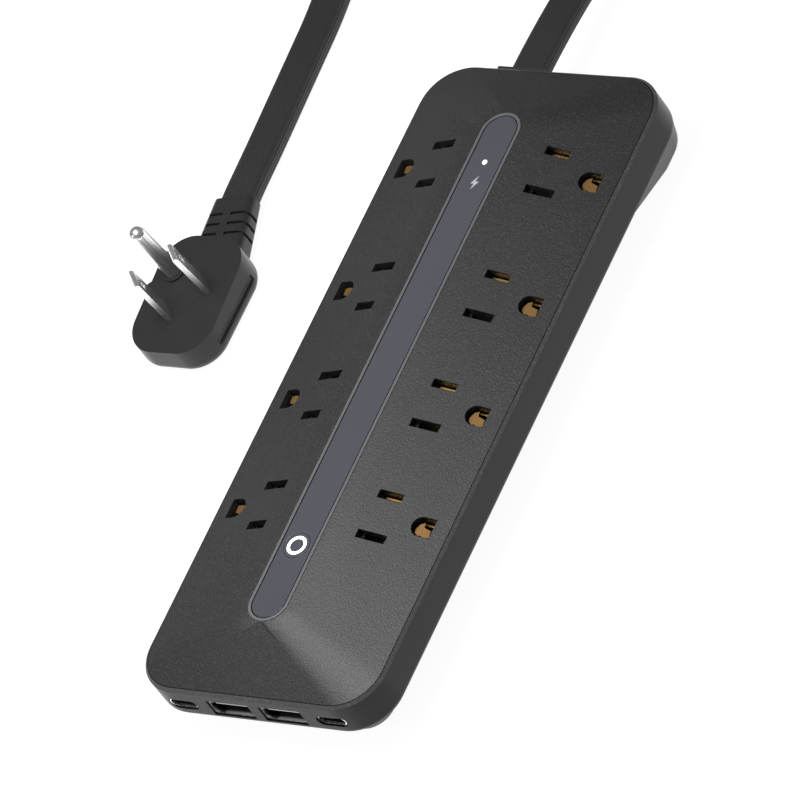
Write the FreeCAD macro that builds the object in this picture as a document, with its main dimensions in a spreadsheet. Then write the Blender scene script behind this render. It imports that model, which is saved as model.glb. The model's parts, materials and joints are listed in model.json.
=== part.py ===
"""A flat eight-outlet power strip with surge protection, four USB ports, a flat cord and an angled plug.

Frame: millimetres, +Z up. The origin is on the floor under the middle of the strip. +Y runs along the strip
to the end where the cord leaves, and the USB ports are on the -Y end. The top is a low hipped roof whose two
long slopes hold the outlets, so outlet pieces are drawn in a slope's own frame (u down the slope from the
ridge, y along the strip, n out of the slope) and then leaned over with the slope.
"""

import FreeCAD, Part

import math
import os

import Sketcher
from FreeCAD import Placement, Rotation, Vector

doc = FreeCAD.newDocument("power_strip")
sheet = doc.addObject("Spreadsheet::Sheet", "sizes")

# ---------------------------------------------------------------- driving dimensions
DIMENSIONS = {
    "housing": {
        "body_length": 202.2,
        "body_width": 76.7,
        "corner_radius": 13.0,
        "rim_height": 21.817,  # the top of the cover's upright edge, above the floor
        "roof_slope": 15.27,  # degrees
        "rim_chamfer": 0.85,
        "rim_gap": 0.2,  # hairline between the cover and the rim
        "cover_wall": 2.2,
        "end_slope_extra": 0.25,  # the end slopes are this much thicker than the long ones
        "hollow_corner_inset": 4.0,
        "hollow_top_corner_inset": 6.0,
        "cover_edge": 1.2,  # height of the cover's upright edge
        "lip_wall": 1.4,
        "lip_depth": 1.8,
        "lip_clearance": 0.15,
        "base_wall": 2.2,
        "wall_bottom": 9.8,  # height of the side walls' lower edge
        "wall_round": 2.5,
        "flange": 2.5,
        "plinth_bottom": 0.8,
        "floor_thickness": 1.8,
        "plinth_wall": 2.36,
        "plinth_top_inset": 2.7,
        "plinth_side_inset": 9.85,
        "plinth_near_inset": 7.5,
        "plinth_near_slope_inset": 2.8,
        "plinth_radius": 7.0,
        "well_floor_radius": 6.0,
        "end_foot_bottom": 3.0,
        "end_foot_start": 41.0,  # from the far wall, at the top of the foot
        "end_foot_base_start": 17.0,
        "end_foot_inset": 3.8,
        "end_foot_round": 0.8,
        "end_foot_far_inset": 0.1,
        "plinth_far_inset": 0.6,
    },
    "lens strip": {
        "plateau_half": 6.5,
        "plateau_nose": 0.6,
        "plateau_near": -82.8,
        "plateau_far": 80.9,
        "bezel_half": 6.2,
        "bezel_width": 0.9,
        "bezel_proud": 0.1,
        "lens_gap": 0.3,
        "lens_recess": 2.0,
        "recess_clearance": 0.1,
        "recess_floor": 1.83,  # wall left under the recess
        "status_y": 64.3,
        "status_radius": 0.8,
        "pipe_flange_radius": 1.6,
        "button_y": -58.8,
        "button_radius": 3.9,
        "button_gap": 0.15,
        "button_height": 5.0,
        "button_wall": 0.8,
        "ring_outer": 3.15,
        "ring_inner": 2.05,
        "ring_depth": 1.0,
        "button_travel": 1.2,
        "plunger_side": 2.6,
        "plunger_slack": 0.6,
        "switch_side": 8.4,
        "switch_bottom": 12.0,
        "switch_height": 7.0,
        "spring_radius": 2.5,
        "spring_wire": 0.4,
        "spring_turns": 4.0,
        "spring_gap": 0.05,
    },
    "outlets": {
        "outlet_count": 4,
        "outlet_start": -45.5,
        "outlet_pitch": 35.13,
        "outlet_far_gap": 40.18,  # the last outlet stands off for wide adapters
        "blade_line": 19.27,  # from the ridge, down the slope
        "blade_half_pitch": 6.35,
        "ground_offset": 11.9,
        "slot_width": 2.6,
        "neutral_slot": 8.4,
        "hot_slot": 7.0,
        "ground_hole": 6.0,
        "ground_flat": 3.1,
        "carrier_gap": 0.3,
        "carrier_inner": 12.5,
        "carrier_outer": 35.2,
        "carrier_bottom": 14.0,
        "carrier_overhang": 11.5,
        "pocket_clearance": 0.35,
        "leaf_width": 5.0,
        "leaf_thickness": 0.5,
        "blade_grip": 1.1,
        "hot_leaf_top": 3.2,
        "neutral_leaf_top": 7.0,
        "ground_leaf_top": 3.4,
        "ground_leaf_width": 4.0,
        "ground_grip": 4.6,
        "bus_width": 2.6,
        "bus_gap": 0.1,
        "neutral_bus_inset": 0.5,  # from the carrier's inner edge
        "hot_bus_offset": 3.6,  # from the blade line
        "ground_bus_inset": 0.2,  # from the carrier's outer edge
        "sheet_thickness": 0.8,
    },
    "ports": {
        "port_height": 15.4,
        "usb_a_x": 8.4,
        "usb_c_x": 24.0,
        "usb_a_width": 13.1,
        "usb_a_height": 5.6,
        "usb_a_depth": 14.0,
        "usb_c_width": 8.94,
        "usb_c_height": 3.26,
        "usb_c_depth": 7.6,
        "port_clearance": 0.25,
        "port_sink": 0.5,
        "shell_wall": 0.35,
        "tongue_a_width": 11.1,
        "tongue_a_thickness": 1.84,
        "tongue_a_drop": 0.5,
        "tongue_setback": 1.0,
        "usb_a_leg": 3.0,
        "usb_c_leg": 1.6,
        "tongue_c_width": 6.7,
        "tongue_c_thickness": 0.7,
        "board_thickness": 1.6,
        "usb_board_half": 28.5,
        "usb_board_near": 7.1,  # from the near wall's outer face
        "usb_board_depth": 24.0,
        "usb_board_gap": 0.4,
        "pillar_radius": 1.8,
        "usb_pillar_near": 4.0,
        "usb_pillar_near_x": 18.0,
        "usb_pillar_far": 3.0,
        "usb_pillar_far_x": 10.8,
    },
    "fixings": {
        "post_radius": 3.0,
        "post_clearance": 0.5,
        "post_gap": 0.1,  # between a post and the base's floor
        "post_root": 1.0,
        "pilot_radius": 1.1,
        "shank_radius": 1.05,
        "shank_length": 11.0,
        "screw_hole_radius": 1.4,
        "head_radius": 2.7,
        "head_height": 0.9,
        "head_recess_radius": 3.0,
        "head_recess": 1.0,
        "end_post_x": 24.0,
        "near_post_y": -64.0,
        "far_post_inset": 15.1,  # from the far wall
        "mid_post_x": 14.8,
        "foot_radius": 5.0,
        "foot_recess": 0.4,
        "foot_x": 20.0,
        "foot_near_y": -80.0,
        "foot_far_y": 72.0,
    },
    "circuits": {
        "switch_board_width": 13.0,
        "switch_board_near": 9.2,  # from the button towards the ports
        "switch_board_far": 12.8,
        "switch_pillar_x": 4.8,
        "switch_pillar_near": 7.0,
        "switch_pillar_far": 10.0,
        "indicator_width": 8.0,
        "indicator_length": 14.0,
        "indicator_drop": 5.9,  # from the cover's inner roof to the board's underside
        "indicator_thickness": 1.0,
        "led_side": 2.4,
        "led_height": 1.3,
        "pipe_gap": 0.2,
        "surge_board_inset": 23.1,  # from the far wall to the board's near edge
        "surge_board_length": 18.0,
        "surge_board_left": 1.0,
        "surge_board_width": 25.5,
        "surge_board_bottom": 4.2,
        "surge_pillar_x": 3.8,
        "surge_pillar_y": 2.0,
        "varistor_radius": 6.5,
        "varistor_thickness": 4.0,
        "varistor_pitch": 5.0,
        "varistor_start": 4.5,
        "varistor_count": 3,
        "varistor_y": 10.6,  # from the surge board's near edge, as for the fuse and the film capacitor
        "fuse_radius": 1.5,
        "fuse_length": 9.0,
        "fuse_start": 8.0,
        "fuse_y": 2.1,
        "film_length": 8.0,
        "film_width": 5.0,
        "film_height": 10.0,
        "film_x": 18.8,
        "film_y": 12.5,
        "transformer_length": 14.0,
        "transformer_width": 13.0,
        "transformer_height": 11.0,
        "transformer_x": -19.0,
        "transformer_y": 10.0,  # from the port board's near edge, as for the cans and the controller
        "reservoir_radius": 4.0,
        "reservoir_height": 11.0,
        "reservoir_y": 16.2,
        "reservoir_x": 2.0,
        "reservoir_count": 2,
        "reservoir_pitch": 9.0,
        "controller_side": 6.0,
        "controller_height": 1.0,
        "controller_x": 18.0,
        "controller_y": 11.0,
        "lead_height": 5.5,
        "lead_end_y": -50.0,
    },
    "cord": {
        "cord_width": 11.4,
        "cord_thickness": 4.4,
        "cord_round": 1.7,
        "cord_x": -13.3,
        "collar_gap": 0.117,  # between the gland's flange and the cover's lip
        "collar_wall": 2.0,
        "collar_out": 2.5,
        "neck_wall": 1.0,
        "neck_clearance": 0.1,
        "collar_flange": 1.6,
        "clamp_inset": 9.1,  # from the far wall
        "clamp_width": 5.0,
        "clamp_half": 11.2,
        "clamp_boss_radius": 2.6,
        "clamp_bar": 2.5,
        "clamp_head_radius": 2.3,
        "clamp_head_height": 1.4,
        "clamp_shank": 5.0,
        "clamp_pilot": 7.0,
        "rib_root": 0.5,
        "cord_inside": 15.1,  # how far the jacket reaches in from the far wall
        "coil_x": -62.0,
        "coil_distance": 128.9,  # from the far wall to the coil's middle
        "coil_inner": 45.7,
        "coil_outer": 67.5,
        "lead_radius": 1.3,
        "lead_inset": 0.8,
    },
    "plug": {
        "plug_x": -92.4,
        "plug_near": 9.5,
        "plug_length": 36.6,
        "plug_half": 13.8,
        "plug_corner": 9.5,
        "plug_face": 10.63,  # height of the face above the floor at the blades
        "plug_blank": 14.7,
        "plug_tilt": 4.8,  # degrees: the face rises towards the cord
        "plug_roll": 1.5,
        "plug_turn": 44.0,  # degrees: the line of the two blades from +X
        "plug_bottom_round": 3.6,
        "prong_x": -91.5,
        "prong_y": 26.0,
        "blade_length": 17.9,
        "blade_width": 6.35,
        "blade_thickness": 1.5,
        "blade_hole_radius": 1.4,
        "blade_hole_down": 4.0,
        "blade_chamfer": 0.5,
        "prong_root": 5.0,
        "pin_radius": 2.4,
        "pin_root_radius": 2.0,
        "pin_ring_radius": 3.3,
        "pin_ring_height": 0.6,
        "pin_length": 21.4,
        "insert_half": 9.0,
        "insert_depth": 4.2,
        "insert_skin": 1.0,
        "grip_radius": 1.5,
        "grip_height": 5.4,
        "grip_sink": 0.7,
        "grip_length": 22.0,
        "boot_length": 16.0,
        "boot_end_width": 13.0,
        "boot_end_height": 6.2,
        "boot_root_width": 15.6,
        "boot_root_height": 8.2,
        "boot_round": 2.4,
        "boot_slot": 1.0,
        "boot_slot_depth": 1.1,
        "boot_overlap": 4.0,
        "boot_height": 5.6,
        "boot_turn": 11.0,
        "boot_slot_start": 2.6,
        "boot_slot_pitch": 3.5,
        "boot_slot_rows": 3,
        "boot_slot_reach": 5.5,
        "boot_bridge": 1.2,  # half of the web left between the slots of a row
    },
}

COLUMN_TITLE, COLUMN_NAME, COLUMN_VALUE = "A", "B", "C"


class Size:
    """A number with the sheet expression that gives it, so that one sum serves Python and the document."""

    def __init__(self, number, text):
        self.number = float(number)
        self.text = text

    def __add__(self, other):
        other = as_size(other)
        return Size(self.number + other.number, f"({self.text} + {other.text})")

    def __sub__(self, other):
        other = as_size(other)
        return Size(self.number - other.number, f"({self.text} - {other.text})")

    def __mul__(self, other):
        other = as_size(other)
        return Size(self.number * other.number, f"({self.text} * {other.text})")

    def __truediv__(self, other):
        other = as_size(other)
        return Size(self.number / other.number, f"({self.text} / {other.text})")

    def __neg__(self):
        return Size(-self.number, f"(-1 * {self.text})")

    def __radd__(self, other):
        return as_size(other) + self

    def __rsub__(self, other):
        return as_size(other) - self

    def __rmul__(self, other):
        return as_size(other) * self

    def __float__(self):
        return self.number


def as_size(value):
    return value if isinstance(value, Size) else Size(value, repr(value))


def tangent(angle):
    return Size(math.tan(math.radians(angle.number)), f"tan({angle.text})")


def cosine(angle):
    return Size(math.cos(math.radians(angle.number)), f"cos({angle.text})")


def write_sheet():
    """Fill the sheet, one row for each dimension, and return the dimensions as an object's attributes."""
    named = type("Dimensions", (), {})()
    row = 1
    for title, group in DIMENSIONS.items():
        sheet.set(f"{COLUMN_TITLE}{row}", title)
        for name, value in group.items():
            sheet.set(f"{COLUMN_NAME}{row}", name)
            sheet.set(f"{COLUMN_VALUE}{row}", str(value))
            sheet.setAlias(f"{COLUMN_VALUE}{row}", name)
            setattr(named, name, Size(value, f"sizes.{name}"))
            row += 1
    doc.recompute()
    return named


d = write_sheet()
nodes = []


def bind(thing, field, value):
    """Tie one field of a document object to the sheet."""
    thing.setExpression(field, as_size(value).text)


def node(thing, label):
    """Give a finished sub-part its own name, which names its file."""
    thing.Label = label
    nodes.append(thing)
    return thing


# ---------------------------------------------------------------- sketches and solid features
def new_body(name):
    return doc.addObject("PartDesign::Body", name)


def sketch_on(body, name, plane="XY_Plane", offset=0):
    """A sketch on one of the body's own origin planes, moved out along the plane's normal."""
    sketch = body.newObject("Sketcher::SketchObject", name)
    support = [feature for feature in body.Origin.OriginFeatures if feature.Role == plane][0]
    sketch.AttachmentSupport = [(support, "")]
    sketch.MapMode = "FlatFace"
    bind(sketch, "AttachmentOffset.Base.z", offset)
    return sketch


def constrain(sketch, kind, *places, value):
    index = sketch.addConstraint(Sketcher.Constraint(kind, *places, as_size(value).number))
    bind(sketch, f"Constraints[{index}]", value)


def join_tangent(sketch, count):
    for k in range(count):
        sketch.addConstraint(Sketcher.Constraint("Tangent", k, 2, (k + 1) % count, 1))


def quarter(x, y, radius, start):
    circle = Part.Circle(Vector(x, y, 0), Vector(0, 0, 1), radius)
    return Part.ArcOfCircle(circle, math.radians(start), math.radians(start + 90))


def rounded_outline(sketch, half, low, high, near, far):
    """A rounded rectangle about the sketch's vertical axis, with one radius near its low side and one at its
    high side, drawn the same way round each time so that two of them loft without twisting."""
    a, y0, y1, rn, rf = (as_size(value).number for value in (half, low, high, near, far))
    sketch.addGeometry(
        [
            Part.LineSegment(Vector(rn - a, y0, 0), Vector(a - rn, y0, 0)),
            quarter(a - rn, y0 + rn, rn, -90),
            Part.LineSegment(Vector(a, y0 + rn, 0), Vector(a, y1 - rf, 0)),
            quarter(a - rf, y1 - rf, rf, 0),
            Part.LineSegment(Vector(a - rf, y1, 0), Vector(rf - a, y1, 0)),
            quarter(rf - a, y1 - rf, rf, 90),
            Part.LineSegment(Vector(-a, y1 - rf, 0), Vector(-a, y0 + rn, 0)),
            quarter(rn - a, y0 + rn, rn, 180),
        ],
        False,
    )
    join_tangent(sketch, 8)
    for line in (0, 4):
        sketch.addConstraint(Sketcher.Constraint("Horizontal", line))
    for line in (2, 6):
        sketch.addConstraint(Sketcher.Constraint("Vertical", line))
    sketch.addConstraint(Sketcher.Constraint("Equal", 1, 7))
    sketch.addConstraint(Sketcher.Constraint("Equal", 3, 5))
    constrain(sketch, "Radius", 1, value=near)
    constrain(sketch, "Radius", 3, value=far)
    constrain(sketch, "DistanceX", -1, 1, 2, 1, value=half)
    constrain(sketch, "DistanceX", 6, 1, -1, 1, value=half)
    constrain(sketch, "DistanceY", -1, 1, 0, 1, value=low)
    constrain(sketch, "DistanceY", -1, 1, 4, 1, value=high)
    return sketch


def stadium(sketch, half, low, high):
    """A long slot with round ends about the sketch's vertical axis."""
    a, y0, y1 = (as_size(value).number for value in (half, low, high))
    axis = Vector(0, 0, 1)
    sketch.addGeometry(
        [
            Part.LineSegment(Vector(a, y0 + a, 0), Vector(a, y1 - a, 0)),
            Part.ArcOfCircle(Part.Circle(Vector(0, y1 - a, 0), axis, a), 0, math.pi),
            Part.LineSegment(Vector(-a, y1 - a, 0), Vector(-a, y0 + a, 0)),
            Part.ArcOfCircle(Part.Circle(Vector(0, y0 + a, 0), axis, a), math.pi, 2 * math.pi),
        ],
        False,
    )
    join_tangent(sketch, 4)
    sketch.addConstraint(Sketcher.Constraint("Vertical", 0))
    sketch.addConstraint(Sketcher.Constraint("Equal", 1, 3))
    sketch.addConstraint(Sketcher.Constraint("PointOnObject", 1, 3, -2))
    constrain(sketch, "Radius", 1, value=half)
    constrain(sketch, "DistanceY", -1, 1, 3, 3, value=low + half)
    constrain(sketch, "DistanceY", -1, 1, 1, 3, value=high - half)
    return sketch


def circle(sketch, x, y, radius):
    spot = Vector(as_size(x).number, as_size(y).number, 0)
    index = sketch.addGeometry(Part.Circle(spot, Vector(0, 0, 1), as_size(radius).number), False)
    constrain(sketch, "Radius", index, value=radius)
    constrain(sketch, "DistanceX", -1, 1, index, 3, value=x)
    constrain(sketch, "DistanceY", -1, 1, index, 3, value=y)
    return sketch


def feature(body, kind, name, sketch, length, reverse=False):
    """A Pad or a Pocket of a sketch. A pad grows along the sketch's normal, a pocket cuts against it."""
    made = body.newObject(f"PartDesign::{kind}", name)
    made.Profile = sketch
    bind(made, "Length", length)
    made.Reversed = reverse
    return made


def loft(body, kind, name, first, second):
    made = body.newObject(f"PartDesign::{kind}", name)
    made.Profile = first
    made.Sections = [second]
    made.Ruled = True
    return made


def edges_where(shape, test):
    """The names of the edges whose every vertex passes the test."""
    found = []
    for index, edge in enumerate(shape.Edges, start=1):
        if all(test(vertex.Point) for vertex in edge.Vertexes):
            found.append(f"Edge{index}")
    return found


def dress(body, kind, name, base, edges, size):
    """A Fillet or Chamfer of named edges."""
    made = body.newObject(f"PartDesign::{kind}", name)
    made.Base = (base, edges)
    bind(made, "Radius" if kind == "Fillet" else "Size", size)
    return made


def close_to(value, target):
    return abs(value - as_size(target).number) < 1e-4


# ---------------------------------------------------------------- plain solids
def block(name, x, y, z):
    """A box between the low and high values given for each axis."""
    box = doc.addObject("Part::Box", name)
    for field, axis, (low, high) in (("Length", "x", x), ("Width", "y", y), ("Height", "z", z)):
        bind(box, field, as_size(high) - low)
        bind(box, f"Placement.Base.{axis}", low)
    return box


def rod(name, radius, start, length, axis=Vector(0, 0, 1)):
    """A cylinder that starts at a point and runs along an axis."""
    cylinder = doc.addObject("Part::Cylinder", name)
    cylinder.Placement = Placement(Vector(), Rotation(Vector(0, 0, 1), axis))
    bind(cylinder, "Radius", radius)
    bind(cylinder, "Height", length)
    for field, value in zip("xyz", start):
        bind(cylinder, f"Placement.Base.{field}", value)
    return cylinder


def fuse(name, shapes):
    made = doc.addObject("Part::MultiFuse", name)
    made.Shapes = shapes
    return made


def cut(name, base, tool):
    made = doc.addObject("Part::Cut", name)
    made.Base = base
    made.Tool = tool
    return made


def group(name, shapes):
    """Separate solids kept as one node."""
    made = doc.addObject("Part::Compound", name)
    made.Links = shapes
    return made


def carried(name, thing):
    """The same solid in a container with a placement of its own."""
    return group(name, [thing])


def lean(thing, side):
    """Lean a piece that is drawn in the flat over onto one of the two slopes."""
    thing.Placement = Placement(Vector(), Rotation(Vector(0, side, 0), d.roof_slope.number))
    bind(thing, "Placement.Rotation.Angle", d.roof_slope)
    bind(thing, "Placement.Base.z", ridge_height)
    return thing


def span(side, low, high):
    """The x range of a stretch of slope, from low to high distance from the ridge."""
    return (low, high) if side > 0 else (-as_size(high), -as_size(low))


SIDES = {"right": 1, "left": -1}
half_length = d.body_length / 2
half_width = d.body_width / 2
cover_half = half_width - d.rim_chamfer - d.rim_gap
ledge_half = half_width - d.rim_chamfer
slope_fall = tangent(d.roof_slope)
ridge_height = d.rim_height + slope_fall * cover_half
ledge_height = d.rim_height - d.cover_edge
plateau_height = ridge_height - slope_fall * d.plateau_half
inner_roof_height = plateau_height - d.lens_recess - d.recess_floor
roof_drop = d.cover_wall / cosine(d.roof_slope)
floor_height = d.plinth_bottom + d.floor_thickness
edge_reach = half_length - d.rim_chamfer - d.rim_gap
far_post_y = half_length - d.far_post_inset
clamp_y = half_length - d.clamp_inset
surge_board_near = half_length - d.surge_board_inset
port_board_near = d.usb_board_near - half_length
indicator_bottom = inner_roof_height - d.indicator_drop
cord_start = half_length - d.cord_inside
cord_height = ledge_height - d.lip_depth - d.collar_gap - d.collar_wall - d.cord_thickness / 2
coil_y = half_length + d.coil_distance
foot_top = d.plinth_bottom + d.foot_recess
PAST = 1  # how far a cutting tool runs past the face that it opens


def outlet_rows():
    """The middle of each outlet along the strip, from the ports' end."""
    rows = [d.outlet_start + d.outlet_pitch * k for k in range(int(d.outlet_count.number) - 1)]
    return rows + [rows[-1] + d.outlet_far_gap]


rows = outlet_rows()
mid_post_y = (rows[-2] + rows[-1]) / 2


# ---------------------------------------------------------------- top cover
def cover_inner_y(height, end):
    """Where the underside of an end slope is at a height: the end slopes run from the plateau to the rim."""
    plateau = d.plateau_near if end < 0 else d.plateau_far
    run = edge_reach - (plateau if end > 0 else -plateau)
    fall = (plateau_height - d.rim_height) / run
    outer = edge_reach - (as_size(height) + d.cover_wall + d.end_slope_extra - d.rim_height) / fall
    return outer if end > 0 else -outer


def slot_tools(side_name):
    """The two blade slots and the round-and-flat ground hole of each outlet on one slope."""
    side = SIDES[side_name]
    tools = []
    deep = (-1 * (d.cover_wall + d.carrier_gap), PAST)
    for k, y in enumerate(rows):
        for kind, length, shift in (
            ("neutral", d.neutral_slot, -side),
            ("hot", d.hot_slot, side),
        ):
            middle = y + d.blade_half_pitch * shift
            u = span(side, d.blade_line - length / 2, d.blade_line + length / 2)
            t = (middle - d.slot_width / 2, middle + d.slot_width / 2)
            tools.append(block(f"{kind}_slot_{side_name}_{k}", u, t, deep))
        ground_u = d.blade_line + d.ground_offset
        tools.append(
            rod(
                f"ground_round_{side_name}_{k}",
                d.ground_hole / 2,
                (ground_u * side, y, deep[0]),
                deep[1] - deep[0],
            )
        )
        u = span(side, ground_u, ground_u + d.ground_flat)
        t = (y - d.ground_hole / 2, y + d.ground_hole / 2)
        tools.append(block(f"ground_flat_{side_name}_{k}", u, t, deep))
    return lean(fuse(f"slots_{side_name}", tools), side)


def post_places():
    """The six screw posts, as (x, y)."""
    for side in SIDES.values():
        yield d.end_post_x * side, d.near_post_y
        yield d.mid_post_x * side, mid_post_y
        yield d.end_post_x * side, far_post_y


def make_top_cover():
    """A hipped roof, hollow below, with an upright edge, a lip that drops inside the base, and a long
    recess along the ridge for the lens strip. Ruled corners between the small top outline and the wide rim
    outline make the hips round off evenly."""
    body = new_body("cover_body")
    rim = rounded_outline(
        sketch_on(body, "cover_rim", offset=d.rim_height),
        cover_half,
        -edge_reach,
        edge_reach,
        d.corner_radius - d.rim_chamfer - d.rim_gap,
        d.corner_radius - d.rim_chamfer - d.rim_gap,
    )
    top = rounded_outline(
        sketch_on(body, "cover_plateau", offset=plateau_height),
        d.plateau_half,
        d.plateau_near,
        d.plateau_far,
        d.plateau_half - d.plateau_nose,
        d.plateau_half - d.plateau_nose,
    )
    loft(body, "AdditiveLoft", "cover_roof", rim, top)
    edge = rounded_outline(
        sketch_on(body, "cover_edge_outline", offset=d.rim_height),
        cover_half,
        -edge_reach,
        edge_reach,
        d.corner_radius - d.rim_chamfer - d.rim_gap,
        d.corner_radius - d.rim_chamfer - d.rim_gap,
    )
    feature(body, "Pad", "cover_edge_pad", edge, d.cover_edge, reverse=True)
    lip_inset = d.base_wall + d.lip_clearance
    lip = rounded_outline(
        sketch_on(body, "cover_lip_outline", offset=ledge_height),
        half_width - lip_inset,
        lip_inset - half_length,
        half_length - lip_inset,
        d.corner_radius - lip_inset,
        d.corner_radius - lip_inset,
    )
    feature(body, "Pad", "cover_lip", lip, d.lip_depth, reverse=True)
    hollow_low = (ridge_height - roof_drop - ledge_height) / slope_fall
    hollow_high = (ridge_height - roof_drop - inner_roof_height) / slope_fall
    low = rounded_outline(
        sketch_on(body, "hollow_low", offset=ledge_height),
        hollow_low,
        cover_inner_y(ledge_height, -1),
        cover_inner_y(ledge_height, 1),
        d.corner_radius - d.hollow_corner_inset,
        d.corner_radius - d.hollow_corner_inset,
    )
    high = rounded_outline(
        sketch_on(body, "hollow_high", offset=inner_roof_height),
        hollow_high,
        cover_inner_y(inner_roof_height, -1),
        cover_inner_y(inner_roof_height, 1),
        d.corner_radius - d.hollow_top_corner_inset,
        d.corner_radius - d.hollow_top_corner_inset,
    )
    loft(body, "SubtractiveLoft", "cover_hollow", low, high)
    lip_inner = lip_inset + d.lip_wall
    mouth = rounded_outline(
        sketch_on(body, "cover_mouth", offset=ledge_height),
        half_width - lip_inner,
        lip_inner - half_length,
        half_length - lip_inner,
        d.corner_radius - lip_inner,
        d.corner_radius - lip_inner,
    )
    feature(body, "Pocket", "cover_mouth_cut", mouth, d.lip_depth)
    recess_half = d.bezel_half + d.recess_clearance
    recess_end = d.plateau_half - d.bezel_half - d.recess_clearance
    recess = stadium(
        sketch_on(body, "lens_recess_outline", offset=plateau_height),
        recess_half,
        d.plateau_near + recess_end,
        d.plateau_far - recess_end,
    )
    feature(body, "Pocket", "lens_recess_cut", recess, d.lens_recess)
    holes = sketch_on(body, "button_hole", offset=plateau_height)
    circle(holes, 0, d.button_y, d.button_radius + d.button_gap)
    circle(holes, 0, d.status_y, d.status_radius + d.button_gap)
    feature(body, "Pocket", "button_hole_cut", holes, d.lens_recess + d.recess_floor + PAST)
    doc.recompute()

    posts = []
    for k, (x, y) in enumerate(post_places()):
        roof = ridge_height - roof_drop - slope_fall * Size(abs(x.number), f"abs({x.text})")
        foot = floor_height + d.post_gap
        outer = rod(f"post_{k}", d.post_radius, (x, y, foot), roof + d.post_root - foot)
        bore = rod(f"post_bore_{k}", d.pilot_radius, (x, y, foot - PAST), d.shank_length + 2 * PAST)
        posts.append(cut(f"post_tube_{k}", outer, bore))
    shell = fuse("cover_with_posts", [body] + posts)
    slots = fuse("all_slots", [slot_tools("right"), slot_tools("left")])
    return node(cut("top_cover", shell, slots), "top_cover")


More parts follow.
